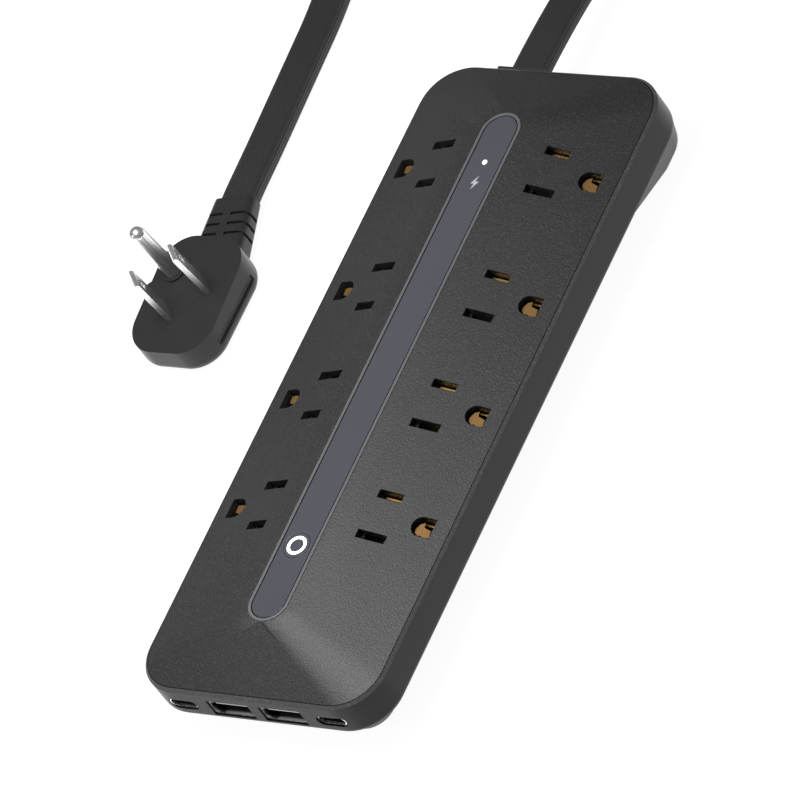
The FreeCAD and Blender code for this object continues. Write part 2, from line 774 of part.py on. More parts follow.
# ---------------------------------------------------------------- base housing
def make_base_housing():
    """A tray with upright walls that round under at their lower edge, a narrower plinth below them, and a
    full-width foot at the far end where the cord leaves. Ports, cord hole, screw holes and foot recesses
    are cut through it."""
    body = new_body("base_body")
    walls = rounded_outline(
        sketch_on(body, "wall_outline", offset=d.wall_bottom),
        half_width,
        -half_length,
        half_length,
        d.corner_radius,
        d.corner_radius,
    )
    rim_top = d.rim_height - d.rim_gap * slope_fall
    wall = feature(body, "Pad", "wall_pad", walls, rim_top - d.wall_bottom)
    doc.recompute()
    top_edges = edges_where(wall.Shape, lambda p: close_to(p.z, rim_top))
    rim = dress(body, "Chamfer", "rim_chamfer", wall, top_edges, d.rim_chamfer)
    doc.recompute()
    low_edges = edges_where(rim.Shape, lambda p: close_to(p.z, d.wall_bottom))
    dress(body, "Fillet", "wall_round", rim, low_edges, d.wall_round)

    shelf = d.wall_bottom + d.flange
    plinth_high = rounded_outline(
        sketch_on(body, "plinth_high", offset=shelf),
        half_width - d.plinth_top_inset,
        d.plinth_near_slope_inset - half_length,
        half_length - d.plinth_far_inset,
        d.corner_radius - d.plinth_top_inset,
        d.corner_radius - d.plinth_top_inset,
    )
    plinth_low = rounded_outline(
        sketch_on(body, "plinth_low", offset=d.plinth_bottom),
        half_width - d.plinth_side_inset,
        d.plinth_near_inset - half_length,
        half_length - d.plinth_far_inset,
        d.plinth_radius,
        d.plinth_radius,
    )
    loft(body, "AdditiveLoft", "plinth", plinth_high, plinth_low)
    foot_high = rounded_outline(
        sketch_on(body, "end_foot_high", offset=shelf),
        half_width,
        half_length - d.end_foot_start,
        half_length,
        d.end_foot_round,
        d.corner_radius,
    )
    foot_low = rounded_outline(
        sketch_on(body, "end_foot_low", offset=d.end_foot_bottom),
        half_width - d.end_foot_inset,
        half_length - d.end_foot_base_start,
        half_length - d.end_foot_far_inset,
        d.end_foot_round,
        d.corner_radius - d.end_foot_inset / 2,
    )
    loft(body, "AdditiveLoft", "end_foot", foot_high, foot_low)

    inner_half = half_width - d.base_wall
    room = rounded_outline(
        sketch_on(body, "room_outline", offset=shelf),
        inner_half,
        d.base_wall - half_length,
        half_length - d.base_wall,
        d.corner_radius - d.base_wall,
        d.corner_radius - d.base_wall,
    )
    feature(body, "Pocket", "room_cut", room, rim_top - shelf + PAST, reverse=True)
    ledge = rounded_outline(
        sketch_on(body, "ledge_outline", offset=ledge_height),
        ledge_half,
        d.rim_chamfer - half_length,
        half_length - d.rim_chamfer,
        d.corner_radius - d.rim_chamfer,
        d.corner_radius - d.rim_chamfer,
    )
    feature(body, "Pocket", "ledge_cut", ledge, rim_top - ledge_height + PAST, reverse=True)
    well_high = rounded_outline(
        sketch_on(body, "well_high", offset=shelf),
        half_width - d.plinth_top_inset - d.plinth_wall,
        d.plinth_near_slope_inset + d.base_wall - half_length,
        half_length - d.base_wall,
        d.plinth_radius,
        d.plinth_radius,
    )
    lean_share = (floor_height - d.plinth_bottom) / (shelf - d.plinth_bottom)
    floor_inset = d.plinth_side_inset - (d.plinth_side_inset - d.plinth_top_inset) * lean_share
    near_inset = d.plinth_near_inset - (d.plinth_near_inset - d.plinth_near_slope_inset) * lean_share
    well_low = rounded_outline(
        sketch_on(body, "well_low", offset=floor_height),
        half_width - floor_inset - d.plinth_wall,
        near_inset + d.base_wall - half_length,
        half_length - d.base_wall,
        d.well_floor_radius,
        d.well_floor_radius,
    )
    loft(body, "SubtractiveLoft", "well", well_high, well_low)
    doc.recompute()

    # a rib under the cord and two bosses for its clamp
    rib_top = cord_height - d.cord_thickness / 2
    cord_top = cord_height + d.cord_thickness / 2
    rib_bottom = floor_height - d.rib_root
    rib = block(
        "cord_rib",
        (d.cord_x - d.cord_width / 2, d.cord_x + d.cord_width / 2),
        (clamp_y - d.clamp_width / 2, clamp_y + d.clamp_width / 2),
        (rib_bottom, rib_top),
    )
    bosses = []
    for k, shift in enumerate((-1, 1)):
        x = d.cord_x + (d.clamp_half - d.clamp_boss_radius) * shift
        boss = rod(f"clamp_boss_{k}", d.clamp_boss_radius, (x, clamp_y, rib_bottom), cord_top - rib_bottom)
        pilot_start = (x, clamp_y, cord_top - d.clamp_pilot)
        pilot = rod(f"clamp_pilot_{k}", d.pilot_radius, pilot_start, d.clamp_pilot + PAST)
        bosses.append(cut(f"clamp_post_{k}", boss, pilot))
    pillars = []
    for k, (x, y, top) in enumerate(pillar_places()):
        pillars.append(rod(f"pillar_{k}", d.pillar_radius, (x, y, rib_bottom), top - rib_bottom))
    solid = fuse("base_with_ribs", [body, rib] + bosses + pillars)

    tools = []
    through = (-1 * half_length - PAST, d.base_wall + PAST - half_length)
    clearance = d.port_clearance
    for shift in (-1, 1):
        half = d.usb_a_width / 2 + clearance
        rise = d.usb_a_height / 2 + clearance
        x = d.usb_a_x * shift
        z = (d.port_height - rise, d.port_height + rise)
        tools.append(block(f"usb_a_mouth_{shift}", (x - half, x + half), through, z))
        round_end = d.usb_c_height / 2 + clearance
        flat = d.usb_c_width / 2 - d.usb_c_height / 2
        x = d.usb_c_x * shift
        z = (d.port_height - round_end, d.port_height + round_end)
        tools.append(block(f"usb_c_mouth_{shift}", (x - flat, x + flat), through, z))
        for end in (-1, 1):
            spot = (x + flat * end, through[0], d.port_height)
            name = f"usb_c_end_{shift}_{end}"
            tools.append(rod(name, round_end, spot, d.base_wall + 2 * PAST, axis=Vector(0, 1, 0)))
    neck_half = d.cord_width / 2 + d.neck_wall + d.neck_clearance
    neck_rise = d.cord_thickness / 2 + d.neck_wall + d.neck_clearance
    tools.append(
        block(
            "cord_hole",
            (d.cord_x - neck_half, d.cord_x + neck_half),
            (half_length - d.base_wall - PAST, half_length + PAST),
            (cord_height - neck_rise, cord_height + neck_rise),
        )
    )
    for k, (x, y) in enumerate(post_places()):
        below = (x, y, d.plinth_bottom - PAST)
        tools.append(rod(f"screw_hole_{k}", d.screw_hole_radius, below, d.floor_thickness + 2 * PAST))
        tools.append(rod(f"head_recess_{k}", d.head_recess_radius, below, d.head_recess + PAST))
    for k, (x, y) in enumerate(foot_places()):
        below = (x, y, d.plinth_bottom - PAST)
        tools.append(rod(f"foot_recess_{k}", d.foot_radius, below, d.foot_recess + PAST))
    return node(cut("base_housing", solid, fuse("base_openings", tools)), "base_housing")


def foot_places():
    for y in (d.foot_near_y, d.foot_far_y):
        for side in (-1, 1):
            yield d.foot_x * side, y


def pillar_places():
    """The pillars of the base that hold the three lower circuit boards up, as (x, y, height)."""
    port_board = d.port_height - d.usb_a_height / 2 - d.usb_board_gap - d.board_thickness
    switch_board = d.switch_bottom - d.board_thickness
    for side in (-1, 1):
        yield d.usb_pillar_near_x * side, port_board_near + d.usb_pillar_near, port_board
        yield d.usb_pillar_far_x * side, port_board_near + d.usb_board_depth - d.usb_pillar_far, port_board
        yield d.switch_pillar_x * side, d.button_y - d.switch_pillar_near, switch_board
        yield d.switch_pillar_x * side, d.button_y + d.switch_pillar_far, switch_board
    for x in (d.surge_pillar_x, d.surge_board_width - d.surge_pillar_x):
        yield d.surge_board_left + x, surge_board_near + d.surge_pillar_y, d.surge_board_bottom


# ---------------------------------------------------------------- lens strip and its button
def make_lens_strip():
    """A long round-ended frame, and inside it a flat lens with holes for the button and the light."""
    floor = plateau_height - d.lens_recess
    proud = plateau_height + d.bezel_proud
    end_gap = d.plateau_half - d.bezel_half
    near, far = d.plateau_near + end_gap, d.plateau_far - end_gap
    bezel = new_body("lens_bezel")
    outline = stadium(sketch_on(bezel, "bezel_outline", offset=floor), d.bezel_half, near, far)
    feature(bezel, "Pad", "bezel_pad", outline, proud - floor)
    inside = d.bezel_half - d.bezel_width
    inner = stadium(
        sketch_on(bezel, "bezel_inner", offset=proud), inside, near + d.bezel_width, far - d.bezel_width
    )
    feature(bezel, "Pocket", "bezel_cut", inner, proud - floor)
    node(bezel, "lens_bezel")

    lens = new_body("lens_panel")
    inset = d.bezel_width + d.lens_gap
    outline = stadium(
        sketch_on(lens, "lens_outline", offset=floor), d.bezel_half - inset, near + inset, far - inset
    )
    feature(lens, "Pad", "lens_pad", outline, plateau_height - floor)
    holes = sketch_on(lens, "lens_holes", offset=plateau_height)
    circle(holes, 0, d.button_y, d.button_radius + d.button_gap)
    circle(holes, 0, d.status_y, d.status_radius + d.button_gap)
    feature(lens, "Pocket", "lens_holes_cut", holes, plateau_height - floor)
    node(lens, "lens_panel")

    low = indicator_bottom + d.indicator_thickness + d.led_height + d.pipe_gap
    pipe = rod("status_pipe", d.status_radius, (0, d.status_y, low), plateau_height - low)
    flange_top = inner_roof_height - d.pipe_gap
    flange = rod("status_flange", d.pipe_flange_radius, (0, d.status_y, low), flange_top - low)
    node(fuse("status_light", [pipe, flange]), "status_light")


switch_top = d.switch_bottom + d.switch_height
cap_bottom = plateau_height - d.button_height


def make_button():
    """A round cap with a lip that keeps it under the cover, a light ring let into its top, the plunger it
    pushes, and the switch below."""
    cap = new_body("power_button")
    disc = circle(sketch_on(cap, "cap_outline", offset=cap_bottom), 0, d.button_y, d.button_radius)
    feature(cap, "Pad", "cap_pad", disc, plateau_height - cap_bottom)
    lip_radius = d.button_radius + d.button_wall
    lip = circle(sketch_on(cap, "cap_lip_outline", offset=cap_bottom), 0, d.button_y, lip_radius)
    feature(cap, "Pad", "cap_lip", lip, d.button_wall)
    groove = sketch_on(cap, "ring_groove", offset=plateau_height)
    circle(groove, 0, d.button_y, d.ring_outer)
    circle(groove, 0, d.button_y, d.ring_inner)
    feature(cap, "Pocket", "ring_groove_cut", groove, d.ring_depth)
    node(cap, "power_button")

    ring = new_body("button_light_ring")
    loop = sketch_on(ring, "ring_outline", offset=plateau_height - d.ring_depth)
    circle(loop, 0, d.button_y, d.ring_outer)
    circle(loop, 0, d.button_y, d.ring_inner)
    feature(ring, "Pad", "ring_pad", loop, d.ring_depth)
    node(ring, "button_light_ring")

    half = d.plunger_side / 2
    sunk = d.button_travel + d.plunger_slack
    plunger = block(
        "switch_plunger",
        (-half, half),
        (d.button_y - half, d.button_y + half),
        (switch_top - d.button_wall, cap_bottom),
    )
    node(plunger, "switch_plunger")

    side = d.switch_side / 2
    body = block(
        "switch_block", (-side, side), (d.button_y - side, d.button_y + side), (d.switch_bottom, switch_top)
    )
    room = half + d.button_gap
    well = block(
        "switch_well",
        (-room, room),
        (d.button_y - room, d.button_y + room),
        (switch_top - d.button_wall - sunk, switch_top + PAST),
    )
    node(cut("switch_body", body, well), "switch_body")

    spring = new_body("button_spring")
    section = sketch_on(spring, "spring_section", plane="XZ_Plane")
    circle(section, d.spring_radius, 0, d.spring_wire / 2)
    rise = cap_bottom - switch_top - d.spring_wire - 2 * d.spring_gap
    coil = spring.newObject("PartDesign::AdditiveHelix", "spring_coil")
    coil.Profile = section
    coil.ReferenceAxis = (section, ["V_Axis"])
    coil.Mode = "height-turns-angle"
    bind(coil, "Height", rise)
    bind(coil, "Turns", d.spring_turns)
    bind(spring, "Placement.Base.y", d.button_y)
    bind(spring, "Placement.Base.z", switch_top + d.spring_wire / 2 + d.spring_gap)
    node(spring, "button_spring")

    half = d.switch_board_width / 2
    board = block(
        "switch_board",
        (-half, half),
        (d.button_y - d.switch_board_near, d.button_y + d.switch_board_far),
        (d.switch_bottom - d.board_thickness, d.switch_bottom),
    )
    node(board, "switch_board")


def make_indicator():
    """The small board under the status light, with its light-emitting diode."""
    half = d.indicator_width / 2
    reach = d.indicator_length / 2
    top = indicator_bottom + d.indicator_thickness
    y = (d.status_y - reach, d.status_y + reach)
    node(block("indicator_board", (-half, half), y, (indicator_bottom, top)), "indicator_board")
    side = d.led_side / 2
    y = (d.status_y - side, d.status_y + side)
    node(block("indicator_led", (-side, side), y, (top, top + d.led_height)), "indicator_led")


# ---------------------------------------------------------------- outlet contacts
sheet_top = -1 * d.carrier_bottom - d.leaf_thickness - d.bus_gap


def contact_places(side_name, kind):
    """The middle of each contact of one kind along a slope. The left column is the right one turned round."""
    side = SIDES[side_name]
    shift = {"neutral": -side, "hot": side, "ground": 0}[kind]
    return [y + d.blade_half_pitch * shift for y in rows]


CONTACTS = {
    # kind: (middle of the leaves down the slope, leaf width, gap between leaves, top of leaves, bus start)
    "neutral": (
        d.blade_line,
        d.leaf_width,
        d.blade_grip,
        d.neutral_leaf_top,
        d.carrier_inner + d.neutral_bus_inset,
    ),
    "hot": (d.blade_line, d.leaf_width, d.blade_grip, d.hot_leaf_top, d.blade_line + d.hot_bus_offset),
    "ground": (
        d.blade_line + d.ground_offset,
        d.ground_leaf_width,
        d.ground_grip,
        d.ground_leaf_top,
        d.carrier_outer - d.bus_width - d.ground_bus_inset,
    ),
}


def slope_reach():
    """The stretch of a slope along the strip that one column of outlets needs."""
    return rows[0] - d.carrier_overhang, rows[-1] + d.carrier_overhang


def make_carrier(side_name):
    """A moulded block under one slope that holds a column of contacts in open pockets."""
    side = SIDES[side_name]
    low, high = slope_reach()
    n = (-1 * d.carrier_bottom, -1 * (d.cover_wall + d.carrier_gap))
    body = block(f"carrier_block_{side_name}", span(side, d.carrier_inner, d.carrier_outer), (low, high), n)
    tools = []
    for kind, (middle, width, grip, top, bus) in CONTACTS.items():
        for k, y in enumerate(contact_places(side_name, kind)):
            reach = grip / 2 + d.leaf_thickness + d.pocket_clearance
            half = width / 2 + d.pocket_clearance
            if kind == "ground":
                half = d.ground_flat
            u = span(side, middle - half, middle + half)
            deep = (n[0] - PAST, n[1] + PAST)
            tools.append(block(f"{kind}_pocket_{side_name}_{k}", u, (y - reach, y + reach), deep))
    pocketed = cut(f"carrier_pockets_{side_name}", body, fuse(f"pockets_{side_name}", tools))
    lean(pocketed, side)
    post = rod(
        f"carrier_post_hole_{side_name}",
        d.post_radius + d.post_clearance,
        (d.mid_post_x * side, mid_post_y, 0),
        ridge_height,
    )
    node(cut(f"contact_carrier_{side_name}", pocketed, post), f"contact_carrier_{side_name}")


def make_strip(side_name, kind):
    """One pressed strip: a bus bar along the slope, and at each outlet a plate that stands up as two
    leaves on either side of where the blade goes."""
    side = SIDES[side_name]
    middle, width, grip, top, bus = CONTACTS[kind]
    low, high = slope_reach()
    base = (-1 * d.carrier_bottom - d.leaf_thickness, -1 * d.carrier_bottom)
    pieces = [block(f"{kind}_bus_{side_name}", span(side, bus, bus + d.bus_width), (low, high + 1), base)]
    inner = middle - width / 2
    outer = middle + width / 2
    plate = (bus, outer) if bus.number < inner.number else (inner, bus + d.bus_width)
    for k, y in enumerate(contact_places(side_name, kind)):
        reach = grip / 2 + d.leaf_thickness
        name = f"{kind}_plate_{side_name}_{k}"
        pieces.append(block(name, span(side, *plate), (y - reach, y + reach), base))
        for end, (start, stop) in enumerate(((y - reach, y - grip / 2), (y + grip / 2, y + reach))):
            name = f"{kind}_leaf_{side_name}_{k}_{end}"
            pieces.append(block(name, span(side, inner, outer), (start, stop), (base[0], -1 * top)))
    node(lean(fuse(f"{kind}_strip_{side_name}", pieces), side), f"{kind}_strip_{side_name}")


def make_insulator(side_name):
    """The sheet that closes the carrier below and keeps the strips off the base."""
    side = SIDES[side_name]
    low, high = slope_reach()
    u = span(side, d.carrier_inner, d.carrier_outer)
    flat = block(f"insulator_flat_{side_name}", u, (low, high), (sheet_top - d.sheet_thickness, sheet_top))
    plain = lean(carried(f"insulator_plain_{side_name}", flat), side)
    post = rod(
        f"insulator_post_hole_{side_name}",
        d.post_radius + d.post_clearance,
        (d.mid_post_x * side, mid_post_y, 0),
        ridge_height,
    )
    node(cut(f"insulator_sheet_{side_name}", plain, post), f"insulator_sheet_{side_name}")


# ---------------------------------------------------------------- ports
def flat_tube(name, half_width, half_height, x, y):
    """A bar along Y with a round-ended section."""
    flat = half_width - half_height
    z = (d.port_height - half_height, d.port_height + half_height)
    pieces = [block(f"{name}_flat", (x - flat, x + flat), y, z)]
    for end in (-1, 1):
        spot = (x + flat * end, y[0], d.port_height)
        pieces.append(rod(f"{name}_end_{end}", half_height, spot, y[1] - y[0], axis=Vector(0, 1, 0)))
    return fuse(f"{name}_bar", pieces)


def make_ports():
    """Two wide and two small USB sockets on one board, their mouths a little inside the near wall."""
    front = d.port_sink - half_length
    wall = d.shell_wall
    board_top = d.port_height - d.usb_a_height / 2 - d.usb_board_gap
    leg_a = (port_board_near, port_board_near + d.usb_a_leg)
    leg_c = (port_board_near, port_board_near + d.usb_c_leg)
    for side_name, side in SIDES.items():
        x = d.usb_a_x * side
        half, rise = d.usb_a_width / 2, d.usb_a_height / 2
        back = front + d.usb_a_depth
        z = (d.port_height - rise, d.port_height + rise)
        outer = block(f"usb_a_outer_{side_name}", (x - half, x + half), (front, back), z)
        inner = block(
            f"usb_a_inner_{side_name}",
            (x - half + wall, x + half - wall),
            (front - PAST, back - wall),
            (z[0] + wall, z[1] - wall),
        )
        leg_z = (board_top, z[0] + wall / 2)
        leg = block(f"usb_a_leg_{side_name}", (x - half / 2, x + half / 2), leg_a, leg_z)
        shell = cut(f"usb_a_shell_{side_name}", fuse(f"usb_a_body_{side_name}", [outer, leg]), inner)
        node(shell, f"usb_a_shell_{side_name}")
        reach = d.tongue_a_width / 2
        tongue_top = z[1] - wall - d.tongue_a_drop
        tongue = block(
            f"usb_a_tongue_{side_name}",
            (x - reach, x + reach),
            (front + d.tongue_setback, back - wall),
            (tongue_top - d.tongue_a_thickness, tongue_top),
        )
        node(tongue, f"usb_a_tongue_{side_name}")

        x = d.usb_c_x * side
        half, rise = d.usb_c_width / 2, d.usb_c_height / 2
        back = front + d.usb_c_depth
        outer = flat_tube(f"usb_c_outer_{side_name}", half, rise, x, (front, back))
        depth = (front - PAST, back - wall)
        inner = flat_tube(f"usb_c_inner_{side_name}", half - wall, rise - wall, x, depth)
        leg_top = d.port_height - rise + wall / 2
        leg = block(f"usb_c_leg_{side_name}", (x - half / 2, x + half / 2), leg_c, (board_top, leg_top))
        shell = cut(f"usb_c_shell_{side_name}", fuse(f"usb_c_body_{side_name}", [outer, leg]), inner)
        node(shell, f"usb_c_shell_{side_name}")
        reach = d.tongue_c_width / 2
        z = (d.port_height - d.tongue_c_thickness / 2, d.port_height + d.tongue_c_thickness / 2)
        tongue = block(
            f"usb_c_tongue_{side_name}", (x - reach, x + reach), (front + d.tongue_setback, back - wall), z
        )
        node(tongue, f"usb_c_tongue_{side_name}")

    half = d.usb_board_half
    y = (port_board_near, port_board_near + d.usb_board_depth)
    node(block("usb_board", (-half, half), y, (board_top - d.board_thickness, board_top)), "usb_board")

    x = (d.transformer_x, d.transformer_x + d.transformer_length)
    y = (port_board_near + d.transformer_y, port_board_near + d.transformer_y + d.transformer_width)
    node(block("transformer", x, y, (board_top, board_top + d.transformer_height)), "transformer")
    cans = []
    for k in range(int(d.reservoir_count.number)):
        spot = (d.reservoir_x + d.reservoir_pitch * k, port_board_near + d.reservoir_y, board_top)
        cans.append(rod(f"reservoir_{k}", d.reservoir_radius, spot, d.reservoir_height))
    node(group("reservoir_capacitors", cans), "reservoir_capacitors")
    x = (d.controller_x, d.controller_x + d.controller_side)
    y = (port_board_near + d.controller_y, port_board_near + d.controller_y + d.controller_side)
    node(block("charge_controller", x, y, (board_top, board_top + d.controller_height)), "charge_controller")


def make_surge_parts():
    """The surge board at the cord end, with its disc varistors, thermal fuse and film capacitor."""
    x = (d.surge_board_left, d.surge_board_left + d.surge_board_width)
    y = (surge_board_near, surge_board_near + d.surge_board_length)
    top = d.surge_board_bottom + d.board_thickness
    plain = block("surge_board_plain", x, y, (d.surge_board_bottom, top))
    hole_radius = d.post_radius + d.post_clearance
    below = (d.end_post_x, far_post_y, d.surge_board_bottom - PAST)
    hole = rod("surge_board_hole", hole_radius, below, d.board_thickness + 2 * PAST)
    node(cut("surge_board", plain, hole), "surge_board")
    discs = []
    for k in range(int(d.varistor_count.number)):
        x = d.varistor_start + d.varistor_pitch * k
        spot = (x, surge_board_near + d.varistor_y, top + d.varistor_radius)
        discs.append(
            rod(f"varistor_{k}", d.varistor_radius, spot, d.varistor_thickness, axis=Vector(1, 0, 0))
        )
    node(group("varistors", discs), "varistors")
    spot = (d.fuse_start, surge_board_near + d.fuse_y, top + d.fuse_radius)
    node(rod("thermal_fuse", d.fuse_radius, spot, d.fuse_length, axis=Vector(1, 0, 0)), "thermal_fuse")
    x = (d.film_x, d.film_x + d.film_length)
    y = (surge_board_near + d.film_y, surge_board_near + d.film_y + d.film_width)
    node(block("film_capacitor", x, y, (top, top + d.film_height)), "film_capacitor")


# ---------------------------------------------------------------- screws and feet
def make_screws():
    """Six case screws, heads let into the underside."""
    screws = []
    for k, (x, y) in enumerate(post_places()):
        seat = d.plinth_bottom + d.head_recess
        head_face = (x, y, seat - d.head_height)
        head = rod(f"screw_head_{k}", d.head_radius, head_face, d.head_height)
        shank = rod(f"screw_shank_{k}", d.shank_radius, head_face, d.head_height + d.shank_length)
        screws.append(fuse(f"case_screw_{k}", [head, shank]))
    node(group("case_screws", screws), "case_screws")


def make_feet():
    for k, (x, y) in enumerate(foot_places()):
        node(rod(f"rubber_foot_{k + 1}", d.foot_radius, (x, y, 0), foot_top), f"rubber_foot_{k + 1}")


# ---------------------------------------------------------------- cord, clamp and leads
def route_wire(points, share=0.45):
    """A path of straight runs joined by arcs that are tangent to both, each arc as wide as its shorter run
    lets it be."""
    places = [Vector(*(as_size(value).number for value in point)) for point in points]
    edges = []
    radii = []
    start = places[0]
    for before, corner, after in zip(places, places[1:], places[2:]):
        into = (corner - before).normalize()
        out = (after - corner).normalize()
        half_turn = into.getAngle(out) / 2
        setback = share * min((corner - before).Length, (after - corner).Length)
        arc_start = corner - into * setback
        arc_end = corner + out * setback
        radius = setback / math.tan(half_turn)
        to_middle = (out - into).normalize()
        centre = corner + to_middle * (radius / math.cos(half_turn))
        middle = centre - to_middle * radius
        edges.append(Part.LineSegment(start, arc_start).toShape())
        edges.append(Part.Arc(arc_start, middle, arc_end).toShape())
        radii.append(radius)
        start = arc_end
    edges.append(Part.LineSegment(start, places[-1]).toShape())
    return Part.Wire(edges), radii


def cord_section(place, along):
    """The cord's flat section, with rounded edges, square to its direction."""
    half = d.cord_width.number / 2
    rise = d.cord_thickness.number / 2
    round_off = d.cord_round.number
    side = along.cross(Vector(0, 0, 1)).normalize()
    up = side.cross(along).normalize()
    flat = Part.makePlane(2 * half, 2 * rise, Vector(-half, -rise, 0)).extrude(Vector(0, 0, 1))
    rounded = flat.makeFillet(round_off, [edge for edge in flat.Edges if abs(edge.tangentAt(0).z) > 0.5])
    wire = [face for face in rounded.Faces if face.CenterOfMass.z < 1e-6][0].OuterWire
    turned = FreeCAD.Matrix()
    turned.A11, turned.A21, turned.A31 = side
    turned.A12, turned.A22, turned.A32 = up
    turned.A13, turned.A23, turned.A33 = along
    turned.A14, turned.A24, turned.A34 = place
    return wire.transformGeometry(turned)


def make_cord(name, points):
    """One stretch of the flat cord, lying with its broad side level."""
    wire, radii = route_wire(points)
    places = [Vector(*(as_size(value).number for value in point)) for point in points]
    section = cord_section(places[0], (places[1] - places[0]).normalize())
    pipe = Part.BRepOffsetAPI.MakePipeShell(wire)
    pipe.setBiNormalMode(Vector(0, 0, 1))
    pipe.add(section, False, False)
    pipe.build()
    pipe.makeSolid()
    cord = doc.addObject("Part::Feature", name)
    cord.Shape = pipe.shape()
    node(cord, name)
    area = Part.Face(section).Area
    print(f"{name}: {wire.Length:.1f} mm long, arc radii {[round(r, 1) for r in radii]}")
    print(f"{name}: volume over section times length {cord.Shape.Volume / (area * wire.Length):.4f}")


strip_cord = [
    (d.cord_x, cord_start, cord_height),
    (d.cord_x, half_length + 16.9, cord_height),
    (d.cord_x + 0.3, half_length + 48.9, cord_height - 3.7),
    (d.cord_x + 3.3, half_length + 78.9, cord_height - 11.2),
    (d.coil_x + 61.4, coil_y - 22.3, cord_height - 11.3),
]


def make_coil():
    """The unseen length of the cord, put away as a flat ring of turns wound on edge."""
    height = d.cord_width
    outer = rod("coil_outside", d.coil_outer, (d.coil_x, coil_y, 0), height)
    inner = rod("coil_inside", d.coil_inner, (d.coil_x, coil_y, -PAST), height + 2 * PAST)
    node(cut("cord_coil", outer, inner), "cord_coil")


def make_gland():
    """A soft collar that carries the cord through the far wall: a rim outside, a neck, a flange inside."""
    x, z = d.cord_x, cord_height
    sizes = (
        ("collar", d.neck_wall + d.collar_wall / 2, (half_length, half_length + d.collar_out)),
        ("neck", d.neck_wall, (half_length - d.base_wall, half_length)),
        ("flange", d.collar_wall, (half_length - d.base_wall - d.collar_flange, half_length - d.base_wall)),
    )
    pieces = []
    for name, wall, y in sizes:
        half = d.cord_width / 2 + wall
        rise = d.cord_thickness / 2 + wall
        pieces.append(block(f"gland_{name}", (x - half, x + half), y, (z - rise, z + rise)))
    passage = doc.addObject("Part::Feature", "gland_passage")
    along = Vector(0, 1, 0)
    start = Vector(x.number, (half_length - d.base_wall - d.collar_flange).number - PAST, z.number)
    length = (d.base_wall + d.collar_flange + d.collar_out).number + 2 * PAST
    passage.Shape = Part.Face(cord_section(start, along)).extrude(along * length)
    node(cut("cord_gland", fuse("gland_solid", pieces), passage), "cord_gland")


def make_clamp():
    """A bar that holds the cord down on its rib, with two screws."""
    half = d.clamp_half
    y = (clamp_y - d.clamp_width / 2, clamp_y + d.clamp_width / 2)
    low = cord_height + d.cord_thickness / 2
    high = low + d.clamp_bar
    bar = block("clamp_bar", (d.cord_x - half, d.cord_x + half), y, (low, high))
    holes = []
    screws = []
    for k, side in enumerate((-1, 1)):
        x = d.cord_x + (half - d.clamp_boss_radius) * side
        holes.append(
            rod(f"clamp_hole_{k}", d.screw_hole_radius, (x, clamp_y, low - PAST), d.clamp_bar + 2 * PAST)
        )
        head = rod(f"clamp_head_{k}", d.clamp_head_radius, (x, clamp_y, high), d.clamp_head_height)
        tip = (x, clamp_y, low - d.clamp_shank)
        length = d.clamp_shank + d.clamp_bar + d.clamp_head_height / 2
        shank = rod(f"clamp_shank_{k}", d.shank_radius, tip, length)
        screws.append(fuse(f"clamp_screw_{k}", [head, shank]))
    node(cut("cord_clamp", bar, fuse("clamp_holes", holes)), "cord_clamp")
    node(group("clamp_screws", screws), "clamp_screws")


def make_lead(name, points):
    """A round insulated wire from the cord's stripped end."""
    wire, radii = route_wire(points)
    places = [Vector(*(as_size(value).number for value in point)) for point in points]
    ring = Part.Wire(Part.Circle(places[0], places[1] - places[0], d.lead_radius.number).toShape())
    lead = doc.addObject("Part::Feature", name)
    lead.Shape = wire.makePipeShell([ring], True, False)
    node(lead, name)


def make_leads():
    """Hot runs down the middle of the base to the switch; neutral and ground go to the surge board."""
    y, z = cord_start, cord_height
    pitch = d.cord_width / 2 - d.lead_radius - d.lead_inset
    board_top = d.surge_board_bottom + d.board_thickness
    switch_board_bottom = d.switch_bottom - d.board_thickness
    low = d.lead_height
    make_lead(
        "hot_lead",
        [
            (d.cord_x - pitch, y, z),
            (d.cord_x - pitch, y - 3, z),
            (d.cord_x - pitch + 1, y - 6, z - 5),
            (d.cord_x + 8.3, y - 11, low),
            (0, y - 15, low),
            (0, d.lead_end_y, low),
            (0, d.lead_end_y, switch_board_bottom),
        ],
    )
    x = d.surge_board_left
    make_lead(
        "neutral_lead",
        [
            (d.cord_x + pitch, y, z),
            (d.cord_x + pitch, y - 3, z),
            (x - 4, y - 5, z - 3.5),
            (x + 2, y - 6, z - 5.5),
            (x + 2, y - 6, board_top),
        ],
    )
    make_lead(
        "ground_lead",
        [
            (d.cord_x, y, z),
            (d.cord_x, y - 2.5, z),
            (d.cord_x + 1, y - 4, z - 4),
            (x - 10, y - 3, z - 6.2),
            (x - 4, y - 1, z - 6.5),
            (x + 1.6, y, z - 6.5),
            (x + 1.6, y, board_top),
        ],
    )


# ---------------------------------------------------------------- plug
plug_frame = Placement(
    Vector(d.prong_x.number, d.prong_y.number, d.plug_face.number),
    Rotation(Vector(1, 0, 0), d.plug_tilt.number)
    * Rotation(Vector(0, 1, 0), -d.plug_roll.number)
    * Rotation(Vector(0, 0, 1), d.plug_turn.number),
)


def in_plug_frame(thing):
    """Move a piece that is drawn about the middle of the two blades onto the plug's sloping face."""
    thing.Placement = plug_frame
    return thing


def plug_insert_block(name):
    half = d.insert_half
    low = -1 * d.insert_skin - d.insert_depth
    v = (-half / 2, half + d.ground_offset / 2)
    return carried(name, block(f"{name}_block", (-half, half), v, (low, -1 * d.insert_skin)))


